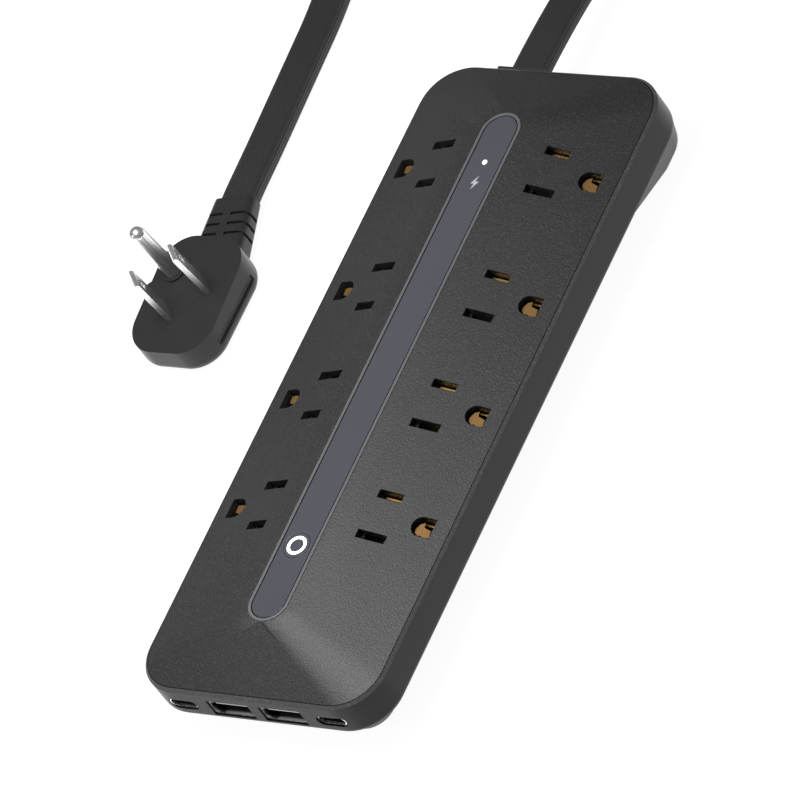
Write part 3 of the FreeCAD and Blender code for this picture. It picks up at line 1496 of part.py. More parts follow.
def prong_tools(name):
    """The blades' and pin's outlines where they pass down through the face and the insert."""
    pieces = []
    low = -1 * d.prong_root
    for side in (-1, 1):
        middle = d.blade_half_pitch * side
        u = (middle - d.blade_thickness / 2, middle + d.blade_thickness / 2)
        v = (-1 * d.blade_width / 2, d.blade_width / 2)
        pieces.append(block(f"{name}_blade_{side}", u, v, (low, PAST)))
    pieces.append(rod(f"{name}_root", d.pin_root_radius, (0, d.ground_offset, low), d.prong_root + PAST))
    return fuse(name, pieces)


def make_plug():
    """A flat moulded head whose face slopes up towards the cord, with two finger grooves in its long sides,
    an insert that holds the prongs' roots, and a short boot with rows of slots."""
    head = new_body("plug_head")
    outline = rounded_outline(
        sketch_on(head, "head_outline"),
        d.plug_half,
        d.plug_near,
        d.plug_near + d.plug_length,
        d.plug_corner,
        d.plug_corner,
    )
    pad = feature(head, "Pad", "head_pad", outline, d.plug_blank)
    doc.recompute()
    low_edges = edges_where(pad.Shape, lambda p: close_to(p.z, 0))
    dress(head, "Fillet", "head_round", pad, low_edges, d.plug_bottom_round)
    bind(head, "Placement.Base.x", d.plug_x)

    wide = (-1 * d.plug_length, d.plug_length)
    above = in_plug_frame(carried("above_face", block("above_block", wide, wide, (0, d.plug_blank))))
    insert_room = in_plug_frame(plug_insert_block("insert_room"))
    prong_room = in_plug_frame(prong_tools("prong_room"))
    grooves = []
    for side in (-1, 1):
        x = d.plug_x + (d.plug_half + d.grip_radius - d.grip_sink) * side
        start = (x, d.plug_near + d.plug_length / 2 - d.grip_length / 2, d.grip_height)
        grooves.append(
            rod(f"grip_groove_{side}", d.grip_radius, start, d.grip_length, axis=Vector(0, 1, 0))
        )
    hollowed = cut("plug_hollowed", head, fuse("plug_tools", [above, insert_room, prong_room] + grooves))
    ring_height = d.pin_ring_height
    low = (0, d.ground_offset, -1 * ring_height)
    outer = rod("pin_ring_outer", d.pin_ring_radius, low, 2 * ring_height)
    inner = rod("pin_ring_inner", d.pin_root_radius, low, 2 * ring_height)
    ring = in_plug_frame(cut("pin_ring", outer, inner))
    node(fuse("plug_body", [hollowed, ring]), "plug_body")

    insert = in_plug_frame(plug_insert_block("insert_solid"))
    prong_passage = in_plug_frame(prong_tools("prong_passage"))
    node(cut("plug_insert", insert, prong_passage), "plug_insert")

    for label, side in (("hot_blade", 1), ("neutral_blade", -1)):
        middle = d.blade_half_pitch * side
        u = (middle - d.blade_thickness / 2, middle + d.blade_thickness / 2)
        v = (-1 * d.blade_width / 2, d.blade_width / 2)
        plain = block(f"{label}_plain", u, v, (-1 * d.prong_root, d.blade_length))
        spot = (u[0] - PAST, 0, d.blade_length - d.blade_hole_down)
        through = d.blade_thickness + 2 * PAST
        hole = rod(f"{label}_hole", d.blade_hole_radius, spot, through, axis=Vector(1, 0, 0))
        solid = cut(f"{label}_solid", plain, hole)
        edges = doc.addObject("Part::Chamfer", label)
        edges.Base = solid
        doc.recompute()
        size = d.blade_chamfer.number
        for index, edge in enumerate(solid.Shape.Edges, start=1):
            at_tip = all(close_to(vertex.Z, d.blade_length) for vertex in edge.Vertexes)
            if at_tip and edge.Length > d.blade_width.number / 2:
                edges.Edges = edges.Edges + [(index, size, size)]
        node(in_plug_frame(edges), label)

    straight = d.pin_length - d.pin_radius
    low = (0, d.ground_offset, -1 * d.prong_root)
    root = rod("ground_root", d.pin_root_radius, low, d.prong_root + 2 * ring_height)
    shaft = rod("ground_shaft", d.pin_radius, (0, d.ground_offset, ring_height), straight - ring_height)
    dome = doc.addObject("Part::Sphere", "ground_dome")
    bind(dome, "Radius", d.pin_radius)
    bind(dome, "Placement.Base.y", d.ground_offset)
    bind(dome, "Placement.Base.z", straight)
    node(in_plug_frame(fuse("ground_pin", [root, shaft, dome])), "ground_pin")

    boot = new_body("boot_body")
    root = rounded_outline(
        sketch_on(boot, "boot_root", plane="XZ_Plane", offset=d.boot_overlap),
        d.boot_root_width / 2,
        -1 * d.boot_root_height / 2,
        d.boot_root_height / 2,
        d.boot_round,
        d.boot_round,
    )
    end = rounded_outline(
        sketch_on(boot, "boot_end", plane="XZ_Plane", offset=-1 * d.boot_length),
        d.boot_end_width / 2,
        -1 * d.boot_end_height / 2,
        d.boot_end_height / 2,
        d.boot_round,
        d.boot_round,
    )
    loft(boot, "AdditiveLoft", "boot_loft", root, end)
    slots = []
    for row in range(int(d.boot_slot_rows.number)):
        y = d.boot_slot_start + d.boot_slot_pitch * row
        taper = (d.boot_root_height - d.boot_end_height) / 2 * (y / d.boot_length)
        top = d.boot_root_height / 2 - taper
        t = (y, y + d.boot_slot)
        z = (top - d.boot_slot_depth, top + PAST)
        slots.append(block(f"boot_slot_left_{row}", (-1 * d.boot_slot_reach, -1 * d.boot_bridge), t, z))
        slots.append(block(f"boot_slot_right_{row}", (d.boot_bridge, d.boot_root_width), t, z))
        reach = d.boot_root_width / 2 - (d.boot_root_width - d.boot_end_width) / 2 * (y / d.boot_length)
        x = (reach - d.boot_slot_depth, reach + PAST)
        slots.append(block(f"boot_slot_side_{row}", x, t, (-1 * top / 2, top + PAST)))
    slotted = cut("boot_slotted", boot, fuse("boot_slots", slots))
    slotted.Placement = Placement(boot_root, Rotation(Vector(0, 0, 1), boot_turn))
    doc.recompute()
    node(cut("plug_boot", slotted, head), "plug_boot")


boot_root = Vector(d.plug_x.number, (d.plug_near + d.plug_length).number, d.boot_height.number)
boot_turn = d.boot_turn.number
boot_end = boot_root + Rotation(Vector(0, 0, 1), boot_turn).multVec(Vector(0, d.boot_length.number, 0))
plug_cord = [
    (d.coil_x - 48.0, coil_y + 8.0, d.cord_width + d.cord_thickness / 2 - 0.1),
    (d.coil_x - 47.6, coil_y - 22.0, d.cord_width + d.cord_thickness / 2 + 0.1),
    (d.coil_x - 44.6, coil_y - 50.0, d.cord_width + d.cord_thickness / 2 - 0.1),
    (d.coil_x - 41.4, coil_y - 74.0, d.boot_height),
    (d.coil_x - 39.2, coil_y - 96.0, d.cord_thickness / 2 + 0.05),
    (d.coil_x - 37.9, coil_y - 124.0, d.cord_thickness / 2 + 0.05),
    (d.coil_x - 36.4, coil_y - 148.0, d.cord_thickness / 2 + 0.4),
    tuple(boot_end),
]


make_top_cover()
make_base_housing()
make_lens_strip()
make_button()
make_indicator()
for column in SIDES:
    make_carrier(column)
    for contact in CONTACTS:
        make_strip(column, contact)
    make_insulator(column)
make_ports()
make_surge_parts()
make_screws()
make_feet()
make_gland()
make_clamp()
make_leads()
make_cord("cord_strip_side", strip_cord)
make_coil()
make_cord("cord_plug_side", plug_cord)
make_plug()


# ---------------------------------------------------------------- checks and files
def check_and_write():
    """Stop on any failed object or broken shape, then write each sub-part to its own file."""
    doc.recompute()
    failed = [thing.Name for thing in doc.Objects if {"Invalid", "Error"} & set(thing.State)]
    if failed:
        raise SystemExit(f"failed objects: {failed}")
    os.makedirs("parts", exist_ok=True)
    for part in nodes:
        shape = part.Shape
        if shape.isNull() or not shape.isValid() or not shape.Solids:
            raise SystemExit(f"{part.Label} has no valid solid")
        shape.exportStep(f"parts/{part.Label}.step")
        print(f"{part.Label}: {len(shape.Solids)} solid(s), {shape.Volume:.1f} mm3")


check_and_write()
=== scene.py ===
"""The finish of a flat power strip with its cord and plug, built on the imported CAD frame.

Metres, +Z up, the origin on the floor under the middle of the strip, and +Y towards the end where the cord
leaves. Sizes that are easier to read in millimetres are multiplied by MM.
"""

import json
import math

import bmesh
import bpy
import numpy as np
from mathutils import Matrix, Vector


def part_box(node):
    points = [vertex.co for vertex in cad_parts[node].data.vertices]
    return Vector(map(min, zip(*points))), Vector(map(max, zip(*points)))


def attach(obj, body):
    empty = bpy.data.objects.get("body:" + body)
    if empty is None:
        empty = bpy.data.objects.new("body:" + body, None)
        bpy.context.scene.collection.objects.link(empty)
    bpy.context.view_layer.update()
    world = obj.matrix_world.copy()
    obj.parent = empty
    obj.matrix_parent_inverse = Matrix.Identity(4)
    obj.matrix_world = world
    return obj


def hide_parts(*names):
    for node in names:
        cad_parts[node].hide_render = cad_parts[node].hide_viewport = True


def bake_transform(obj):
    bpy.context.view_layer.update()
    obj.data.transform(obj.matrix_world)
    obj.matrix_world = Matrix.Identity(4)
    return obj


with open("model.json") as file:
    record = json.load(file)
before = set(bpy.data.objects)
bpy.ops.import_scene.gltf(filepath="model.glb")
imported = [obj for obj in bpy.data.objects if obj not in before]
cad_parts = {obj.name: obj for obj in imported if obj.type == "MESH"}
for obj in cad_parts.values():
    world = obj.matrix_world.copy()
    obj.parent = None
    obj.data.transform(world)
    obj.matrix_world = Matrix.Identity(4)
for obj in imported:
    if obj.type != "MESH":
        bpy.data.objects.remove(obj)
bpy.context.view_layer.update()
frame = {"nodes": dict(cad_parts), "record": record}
scene = bpy.context.scene


# ---------------------------------------------------------------- camera
# A long lens well above the strip's near right corner, leaning so that the strip climbs to the upper right.
CAMERA_PLACE = (1.4328, -1.0392, 1.6434)
CAMERA_RIGHT = (0.7990, 0.3961, -0.4525)
CAMERA_UP = (-0.0731, 0.8108, 0.5808)
CAMERA_BACK = (0.5969, -0.4310, 0.6768)
LENS_MM = 415.0
SENSOR_MM = 36.0
FARTHEST_SEEN = 20.0


def make_camera():
    camera_data = bpy.data.cameras.new("camera")
    camera_data.lens = LENS_MM
    camera_data.sensor_width = SENSOR_MM
    camera_data.clip_end = FARTHEST_SEEN
    camera = bpy.data.objects.new("camera", camera_data)
    turn = Matrix((CAMERA_RIGHT, CAMERA_UP, CAMERA_BACK)).transposed()
    camera.matrix_world = Matrix.Translation(CAMERA_PLACE) @ turn.to_4x4()
    scene.collection.objects.link(camera)
    scene.camera = camera


make_camera()


# ---------------------------------------------------------------- housing
# Two mouldings of flame-proof plastic, screwed together from below: a hipped cover with a fine sand-blasted
# texture, and a satin tray whose rim is painted paler, a painted highlight that shows as a thin lighter line
# round it.
MM = 0.001


class Tone:
    """A shader socket's value, so that sums on values add their Math nodes."""

    def __init__(self, tree, socket):
        self.tree = tree
        self.socket = socket

    def math(self, operation, *others):
        """One Math node on this value and others."""
        made = self.tree.nodes.new("ShaderNodeMath")
        made.operation = operation
        for place, value in zip(made.inputs, (self, *others)):
            plug_in(self.tree, place, value)
        return Tone(self.tree, made.outputs[0])

    def __add__(self, other):
        return self.math("ADD", other)

    def __mul__(self, other):
        return self.math("MULTIPLY", other)

    def __sub__(self, other):
        return self.math("SUBTRACT", other)

    def __rsub__(self, other):
        return (self * -1.0).math("ADD", other)

    __radd__ = __add__
    __rmul__ = __mul__

    def step(self, low, high):
        """0 below low, 1 above high, and a smooth slope between."""
        made = self.tree.nodes.new("ShaderNodeMapRange")
        made.interpolation_type = "SMOOTHSTEP"
        for name, value in (("Value", self), ("From Min", low), ("From Max", high)):
            plug_in(self.tree, made.inputs[name], value)
        return Tone(self.tree, made.outputs[0])


def plug_in(tree, place, value):
    """Link a Tone to a socket, or set the socket to a plain value."""
    if isinstance(value, Tone):
        tree.links.new(value.socket, place)
    else:
        place.default_value = value


class Finish:
    """A material under construction: one Principled shader and what feeds it."""

    def __init__(self, name, **constants):
        self.material = bpy.data.materials.new(name)
        self.material.use_nodes = True
        self.tree = self.material.node_tree
        self.shader = self.tree.nodes["Principled BSDF"]
        self.set(**constants)

    def node(self, kind, output=0, settings=None, **values):
        """Any node: its settings first, then the values or links of its sockets."""
        made = self.tree.nodes.new(kind)
        for field, value in (settings or {}).items():
            setattr(made, field, value)
        for name, value in values.items():
            plug_in(self.tree, made.inputs[name.replace("_", " ")], value)
        return Tone(self.tree, made.outputs[output])

    def set(self, **values):
        """Put values or links into the shader's sockets, whose names are given with underscores."""
        for name, value in values.items():
            plug_in(self.tree, self.shader.inputs[name.replace("_", " ")], value)
        return self

    def place(self):
        """The place on the surface."""
        return self.node("ShaderNodeTexCoord", "Object")

    def noise(self, scale, detail=2.0, roughness=0.5):
        """A cloudy pattern from 0 to 1."""
        values = {"Vector": self.place(), "Scale": scale, "Detail": detail, "Roughness": roughness}
        return self.node("ShaderNodeTexNoise", "Fac", **values)

    def coordinate(self, axis, vector=None):
        """One coordinate of a vector, or of the place on the surface: 0 for x, 1 for y, 2 for z."""
        split = self.tree.nodes.new("ShaderNodeSeparateXYZ")
        plug_in(self.tree, split.inputs[0], vector or self.place())
        return Tone(self.tree, split.outputs[axis])

    def distance(self, spot):
        """How far the surface is from a spot."""
        made = self.tree.nodes.new("ShaderNodeVectorMath")
        made.operation = "DISTANCE"
        plug_in(self.tree, made.inputs[0], self.place())
        made.inputs[1].default_value = spot
        return Tone(self.tree, made.outputs["Value"])

    def mix(self, share, first, second):
        """A colour between two, by a share from 0 to 1."""
        made = self.tree.nodes.new("ShaderNodeMix")
        made.data_type = "RGBA"
        plug_in(self.tree, made.inputs["Factor"], share)
        colours = [socket for socket in made.inputs if socket.type == "RGBA"]
        for place, value in zip(colours, (first, second)):
            plug_in(self.tree, place, value)
        return Tone(self.tree, [socket for socket in made.outputs if socket.type == "RGBA"][0])

    def bump(self, height, distance, strength):
        """A fine relief on the surface."""
        values = {"Height": height, "Distance": distance, "Strength": strength}
        return self.set(Normal=self.node("ShaderNodeBump", "Normal", **values))


def grey(value, blue=0.0):
    """A grey with a share more blue in it."""
    return (value, value, value * (1 + blue), 1.0)


def dress(finish, *names):
    """Give a finish to new pieces and to CAD nodes."""
    for name in names:
        made = frame["nodes"].get(name) or bpy.data.objects[name]
        if not made.material_slots:
            made.data.materials.append(None)
        for slot in made.material_slots:
            slot.link = "OBJECT"
            slot.material = finish.material


SAME_POINT = 0.002 * MM
FLAT_ANGLE = math.radians(0.4)
HARD_ANGLE = math.radians(25.0)
BEVEL_STEPS = 3


def welded_copy(node):
    """A copy of a CAD node's mesh with its loose triangles joined, standing for that node."""
    source = frame["nodes"][node]
    made = bpy.data.objects.new(f"{node}_soft", source.data.copy())
    scene.collection.objects.link(made)
    made.data.materials.clear()
    builder = bmesh.new()
    builder.from_mesh(made.data)
    bmesh.ops.remove_doubles(builder, verts=builder.verts, dist=SAME_POINT)
    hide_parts(node)
    return made, builder


def refine(node, width):
    """A welded copy whose hard edges get a small rounded bevel."""
    made, builder = welded_copy(node)
    bmesh.ops.dissolve_limit(builder, angle_limit=FLAT_ANGLE, verts=builder.verts, edges=builder.edges)
    bmesh.ops.recalc_face_normals(builder, faces=builder.faces)
    for face in builder.faces:
        face.smooth = True
    for edge in builder.edges:
        edge.smooth = edge.calc_face_angle(0) < HARD_ANGLE
    builder.to_mesh(made.data)
    builder.free()
    bevel = made.modifiers.new("soft_edges", "BEVEL")
    bevel.width = width
    bevel.segments = BEVEL_STEPS
    bevel.limit_method = "ANGLE"
    bevel.angle_limit = HARD_ANGLE
    bevel.harden_normals = True
    bevel.use_clamp_overlap = True
    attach(made, body_holding(node))
    return made


def body_holding(node):
    """The name of the moving body that a CAD node belongs to."""
    bodies = frame["record"]["behaviour"]["bodies"]
    return [name for name, members in bodies.items() if node in members][0]


cover = refine("top_cover", 0.25 * MM)
base = refine("base_housing", 0.3 * MM)

COVER_DARK = grey(0.014, 0.06)
COVER_SPECK = grey(0.056, 0.06)
RIM_START = 20.9 * MM
RIM_BLEND = 0.08 * MM
SPECKS = (0.5, 0.72)


def cover_finish():
    """Dark plastic with fine pale specks and a sand texture of the same grain."""
    finish = Finish("cover_plastic", IOR=1.5)
    grain = finish.noise(2100.0, 3.0, 0.6)
    patches = finish.noise(35.0, 2.0)
    speck = grain.step(*SPECKS)
    finish.set(
        Base_Color=finish.mix(speck * 0.75 + patches * 0.1, COVER_DARK, COVER_SPECK),
        Roughness=0.42 + patches * 0.06 + speck * 0.1,
    )
    return finish.bump(grain, 0.2 * MM, 0.5)


def base_finish():
    """Satin below; the bevelled rim has a speckled texture and is painted far paler than the cover, a painted
    highlight that reads as a paler line.
    """
    finish = Finish("base_plastic", IOR=1.5, Specular_IOR_Level=0.22)
    grain = finish.noise(3200.0, 2.0)
    speck = finish.noise(1300.0, 3.0, 0.6).step(*SPECKS)
    patches = finish.noise(40.0, 2.0)
    # Painted highlight: above RIM_START the colour turns far paler than the satin below and the cover above.
    rim_highlight = finish.coordinate(2).step(RIM_START, RIM_START + RIM_BLEND)
    satin = finish.mix(patches, grey(0.010, 0.04), grey(0.015, 0.04))
    rim_highlight_tone = finish.mix(speck, grey(0.075, 0.05), grey(0.13, 0.05))
    finish.set(
        Base_Color=finish.mix(rim_highlight, satin, rim_highlight_tone),
        Roughness=0.32 + patches * 0.08 + rim_highlight * 0.15,
    )
    return finish.bump(grain, 0.08 * MM, 0.2)


dress(cover_finish(), cover.name)
dress(base_finish(), base.name)


# ---------------------------------------------------------------- lens strip
# A glossy smoked acrylic strip let into the ridge inside a satin grey frame, with the lit button near the
# ports and a small status light at the other end.
bezel = refine("lens_bezel", 0.12 * MM)
lens = refine("lens_panel", 0.05 * MM)
cap = refine("power_button", 0.05 * MM)

LENS_TOP = float(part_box("lens_panel")[1][2])
BUTTON_SPOT = (0.0, -58.8 * MM, LENS_TOP)
RING_RADIUS = 2.6 * MM
RING_EDGE = (RING_RADIUS, 3.0 * MM)
GLOW_REACH = 5.0 * MM
STATUS_EDGE = (0.5 * MM, 0.85 * MM)
NO_LIGHT = (0.0, 0.0, 0.0, 1.0)
GLOW_TINT = (0.85, 0.9, 1.0, 1.0)
LIGHT_TINTS = ((0.9, 0.93, 1.0, 1.0), (1.0, 1.0, 1.0, 1.0))
SMOKED = grey(0.068, 0.24)
SMOKED_PALE = grey(0.078, 0.24)


def glow(finish, strength):
    """Light of the ring that spreads in the lens: it falls off with the square of the nearness."""
    near = 1.0 - finish.distance(BUTTON_SPOT).step(RING_RADIUS, GLOW_REACH)
    finish.set(Emission_Strength=strength)
    return finish.mix(near * near, NO_LIGHT, GLOW_TINT)


def lens_finish():
    """Smoked acrylic, polished, with the ring's light bleeding into it."""
    finish = Finish("lens_gloss", IOR=1.5, Roughness=0.09, Coat_Weight=0.6, Coat_Roughness=0.04)
    patches = finish.noise(25.0, 2.0)
    finish.set(Base_Color=finish.mix(patches, SMOKED, SMOKED_PALE))
    return finish.set(Emission_Color=glow(finish, 0.28))


def trim_finish():
    """Satin grey paint."""
    finish = Finish("trim_grey", IOR=1.5)
    grain = finish.noise(2500.0)
    tone = finish.mix(grain, grey(0.11, 0.05), grey(0.14, 0.05))
    return finish.set(Base_Color=tone, Roughness=0.3 + grain * 0.08)


def light_finish(name, strength, spot, edge):
    """A diffuser that is brightest in its middle and fades out towards its edge."""
    finish = Finish(name, Roughness=0.3, Emission_Strength=strength)
    grain = finish.noise(900.0)
    lit = 1.0 - finish.distance(spot).step(*edge)
    tone = finish.mix(grain, *LIGHT_TINTS)
    shell = finish.mix(lit, grey(0.073, 0.24), tone)
    return finish.set(Base_Color=shell, Emission_Color=finish.mix(lit, NO_LIGHT, tone))


def button_finish():
    """The lens's smoked plastic, a little less polished."""
    finish = Finish("button_black", IOR=1.5, Coat_Weight=0.5, Coat_Roughness=0.08)
    patches = finish.noise(400.0)
    tone = finish.mix(patches, SMOKED, SMOKED_PALE)
    return finish.set(Base_Color=tone, Roughness=0.12 + patches * 0.05)


dress(lens_finish(), lens.name)
dress(trim_finish(), bezel.name)
status_low, status_high = (Vector(corner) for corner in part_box("status_light"))
status_spot = (status_low + status_high) / 2
status_spot.z = status_high.z
dress(light_finish("ring_white", 4.0, BUTTON_SPOT, RING_EDGE), "button_light_ring")
dress(light_finish("status_white", 4.0, status_spot, STATUS_EDGE), "status_light", "indicator_led")
dress(button_finish(), cap.name)


# ---------------------------------------------------------------- printed mark
# A pale bolt printed on the lens beside the status light, the usual sign for surge protection.
BOLT = [(0.45, 2.3), (-1.25, -0.35), (-0.1, -0.35), (-0.45, -2.3), (1.25, 0.35), (0.1, 0.35)]
BOLT_SPOT = (0.0, 57.6 * MM)
PRINT_THICKNESS = 0.02 * MM


def new_object(name, points, faces, smooth=True):
    """A mesh object from arrays of points and of faces."""
    mesh = bpy.data.meshes.new(name)
    faces = faces.tolist() if isinstance(faces, np.ndarray) else faces
    mesh.from_pydata(np.asarray(points).tolist(), [], faces)
    mesh.polygons.foreach_set("use_smooth", np.full(len(mesh.polygons), smooth))
    mesh.update()
    made = bpy.data.objects.new(name, mesh)
    scene.collection.objects.link(made)
    return made


def make_print(name, outline, spot):
    """A thin slab on the lens: the outline at two heights, capped and walled."""
    count = len(outline)
    flat = np.array(outline) * MM + np.array(spot)
    heights = (LENS_TOP - PRINT_THICKNESS, LENS_TOP + PRINT_THICKNESS)
    points = np.vstack([np.column_stack([flat, np.full(count, z)]) for z in heights])
    walls = [[k, (k + 1) % count, (k + 1) % count + count, k + count] for k in range(count)]
    caps = [list(range(count - 1, -1, -1)), list(range(count, 2 * count))]
    return new_object(name, points, caps + walls, smooth=False)


def print_finish():
    """Pale grey ink."""
    finish = Finish("print_grey", Roughness=0.5)
    grain = finish.noise(2000.0)
    return finish.set(Base_Color=finish.mix(grain, grey(0.42, 0.03), grey(0.5, 0.03)))


bolt = make_print("surge_mark", BOLT, BOLT_SPOT)
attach(bolt, "strip")
dress(print_finish(), bolt.name)


# ---------------------------------------------------------------- metal
# Brass strips carry the current and grip the prongs; plated steel makes the port shells, the screws and the
# button's spring; and the plug's prongs are nickel-plated brass.
SIDES = ("left", "right")
PORT_MOUTH = float(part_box("usb_a_shell_left")[0][1])
PORT_SHADE_FADE = (0.3 * MM, 1.2 * MM)


def metal_finish(name, tint, roughness, scale=600.0, wear=0.12, metallic=1.0):
    """Metal whose tint and gloss vary a little with handling."""
    finish = Finish(name, Metallic=metallic)
    grain = finish.noise(scale, 3.0, 0.5)
    dark = tuple((1 - wear) * part for part in tint[:3]) + (1.0,)
    return finish.set(Base_Color=finish.mix(grain, dark, tint), Roughness=roughness + grain * wear)


def shell_finish():
    """Bright plated steel at a port's mouth, with painted shade deeper in: the colour fades to near black a
    little way into the port.
    """
    finish = Finish("shell_steel", Metallic=1.0)
    # Painted shade: the steel's colour fades to near black from the mouth inwards, where shade falls in the
    # port.
    port_shade = (finish.coordinate(1) - PORT_MOUTH).step(*PORT_SHADE_FADE)
    grain = finish.noise(600.0, 3.0)
    bright = finish.mix(grain, grey(0.85, 0.01), grey(0.95))
    return finish.set(Base_Color=finish.mix(port_shade, bright, grey(0.05)), Roughness=0.2 + grain * 0.12)


def plain_finish(name, tint, roughness, scale=900.0):
    """A moulded plastic or rubber: a tint that varies a little, and a fine grain."""
    finish = Finish(name, IOR=1.48)
    grain = finish.noise(scale, 3.0)
    dark = tuple(0.75 * part for part in tint[:3]) + (1.0,)
    finish.set(Base_Color=finish.mix(grain, dark, tint), Roughness=roughness + grain * 0.1)
    return finish.bump(grain, 0.03 * MM, 0.2)


brass = metal_finish("contact_brass", (0.55, 0.33, 0.10, 1.0), 0.3)
steel = metal_finish("screw_steel", (0.72, 0.72, 0.73, 1.0), 0.25)
shell = shell_finish()
nickel = metal_finish("prong_nickel", (0.98, 0.97, 0.96, 1.0), 0.26, 120.0, 0.04)
for side in SIDES:
    for kind in ("hot", "neutral", "ground"):
        dress(brass, f"{kind}_strip_{side}")
    dress(shell, f"usb_a_shell_{side}", f"usb_c_shell_{side}")
dress(steel, "case_screws", "clamp_screws")


def make_spring():
    """A welded, smooth-shaded copy of the button's return spring, with its placement baked into the mesh."""
    made, builder = welded_copy("button_spring")
    bmesh.ops.recalc_face_normals(builder, faces=builder.faces)
    for face in builder.faces:
        face.smooth = True
    builder.to_mesh(made.data)
    builder.free()
    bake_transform(made)
    return made


dress(steel, make_spring().name)

PRONGS = ("hot_blade", "neutral_blade", "ground_pin")
prongs = [refine(name, 0.18 * MM) for name in PRONGS]
dress(nickel, *(prong.name for prong in prongs))


# ---------------------------------------------------------------- ground contact mouths
# Each ground contact ends in a flared brass leaf just under its hole in the cover, with a notch where the two
# halves of the pressing meet. The right column's leaves are the left column's, turned half round.
SLOPE = math.radians(15.27)
RIDGE_HEIGHT = 32.0
GROUND_REACH = 31.17
OUTLET_ROWS = (-45.5, -10.37, 24.76, 64.94)
LEAF_DEPTH = 1.6
LEAF_THICKNESS = 0.4
LEAF_LEFT = [(-0.28, 2.2), (-1.4, 1.43), (-2.13, -0.12), (-2.0, -1.2), (-1.3, -1.87), (-0.7, -2.05)]
LEAF_RIGHT = [(-0.4, -1.8), (0.6, -2.15), (2.26, -1.95), (2.0, 0.19), (-0.03, 0.7)]
LEAF = np.array(LEAF_LEFT + LEAF_RIGHT)


def make_leaves(side_name, side):
    """Flat plates in the slope's own frame, u down the slope and y along the strip, leaned over with it."""
    count = len(LEAF)
    points, faces = [], []
    for k, y in enumerate(OUTLET_ROWS):
        start = 2 * count * k
        for depth in (LEAF_DEPTH + LEAF_THICKNESS, LEAF_DEPTH):
            u = GROUND_REACH + LEAF[:, 0]
            across = u * math.cos(SLOPE) - depth * math.sin(SLOPE)
            rise = RIDGE_HEIGHT - u * math.sin(SLOPE) - depth * math.cos(SLOPE)
            points.append(np.column_stack([across * side, y + LEAF[:, 1] * side, rise]) * MM)
        lower = [start + corner for corner in range(count)]
        upper = [corner + count for corner in lower]
        ring = zip(lower, lower[1:] + lower[:1], upper[1:] + upper[:1], upper)
        faces += [lower, upper[::-1], *(list(wall) for wall in ring)]
    made = new_object(f"ground_flares_{side_name}", np.vstack(points), faces, smooth=False)
    builder = bmesh.new()
    builder.from_mesh(made.data)
    bmesh.ops.recalc_face_normals(builder, faces=builder.faces)
    builder.to_mesh(made.data)
    builder.free()
    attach(made, "strip")
    return made


# Painted shade: the leaves get a darker, duller copy of the contact brass, standing for the shade inside the
# ground holes.
leaf_brass_shaded = metal_finish("leaf_brass_shaded", (0.27, 0.15, 0.045, 1.0), 0.45, 900.0, 0.3, 0.6)
for side_name, side in zip(SIDES, (-1, 1)):
    dress(leaf_brass_shaded, make_leaves(side_name, side).name)


# ---------------------------------------------------------------- inner plastics
# What sits inside the housing or under it: carriers and sheets round the strips, the boards and their parts,
# the leads, the clamp and the rubber feet. Each kind is a tint and a roughness.
PLAIN = {
    "carrier_plastic": (grey(0.012), 0.6, ("contact_carrier_left", "contact_carrier_right")),
    "insulator_fibre": ((0.4, 0.36, 0.28, 1), 0.7, ("insulator_sheet_left", "insulator_sheet_right")),
    "tongue_white": (grey(0.75), 0.5, ("usb_a_tongue_left", "usb_a_tongue_right")),
    "tongue_black": (grey(0.02), 0.5, ("usb_c_tongue_left", "usb_c_tongue_right")),
    "switch_plastic": (grey(0.03), 0.5, ("switch_body", "switch_plunger")),
    "board_green": (
        (0.02, 0.12, 0.04, 1),
        0.35,
        ("switch_board", "indicator_board", "usb_board", "surge_board"),
    ),
    "transformer_tape": ((0.7, 0.5, 0.06, 1), 0.4, ("transformer",)),
    "can_sleeve": ((0.02, 0.03, 0.1, 1), 0.3, ("reservoir_capacitors",)),
    "chip_black": (grey(0.015), 0.5, ("charge_controller",)),
    "varistor_blue": ((0.03, 0.1, 0.35, 1), 0.35, ("varistors",)),
    "fuse_body": (grey(0.6), 0.5, ("thermal_fuse",)),
    "film_yellow": ((0.6, 0.4, 0.05, 1), 0.35, ("film_capacitor",)),
    "foot_rubber": (grey(0.02), 0.75, tuple(f"rubber_foot_{k}" for k in range(1, 5))),
    "clamp_plastic": (grey(0.04), 0.5, ("cord_clamp",)),
    "lead_black": (grey(0.015), 0.4, ("hot_lead",)),
    "lead_white": (grey(0.75), 0.4, ("neutral_lead",)),
    "lead_green": ((0.03, 0.25, 0.05, 1), 0.4, ("ground_lead",)),
    "insert_plastic": (grey(0.03), 0.5, ("plug_insert",)),
}
for name, (tint, roughness, members) in PLAIN.items():
    dress(plain_finish(name, tint, roughness), *members)


# ---------------------------------------------------------------- plug
# The plug is one soft satin moulding over a hard insert; its boot is ribbed so that it bends with the cord.
plug = refine("plug_body", 0.4 * MM)
boot = refine("plug_boot", 0.25 * MM)
plug_plastic = plain_finish("plug_plastic", grey(0.032, 0.05), 0.25, 900.0)
plug_plastic.set(Specular_IOR_Level=0.3)
dress(plug_plastic, plug.name, boot.name)
# ---------------------------------------------------------------- flat cord
# A flat three-core mains cord with a matte jacket and fine ribs along it. It leaves the strip through a
# collar, drops to the floor, is put away in a ring of turns wound on edge, and comes back flat to the plug.
CORD_WIDTH = 11.4 * MM
CORD_THICKNESS = 4.4 * MM
CORD_ROUND = 1.7 * MM
RIB_PITCH = 0.9 * MM
COIL_CENTRE = (-62.0, 230.0)
COIL_RADII = (65.3, 47.9)
COIL_ANGLES = (-20.0, 1260.0)
POINTS_PER_TURN = 14
RING_HEIGHT = 5.82
CROSSING_HEIGHT = 13.7
RISE_START = 1130.0
SPLINE_STEPS = 12
EDGE_ON_LEAD = 0.045
EDGE_ON_REST = 0.012
TURNING_RUN = 0.05

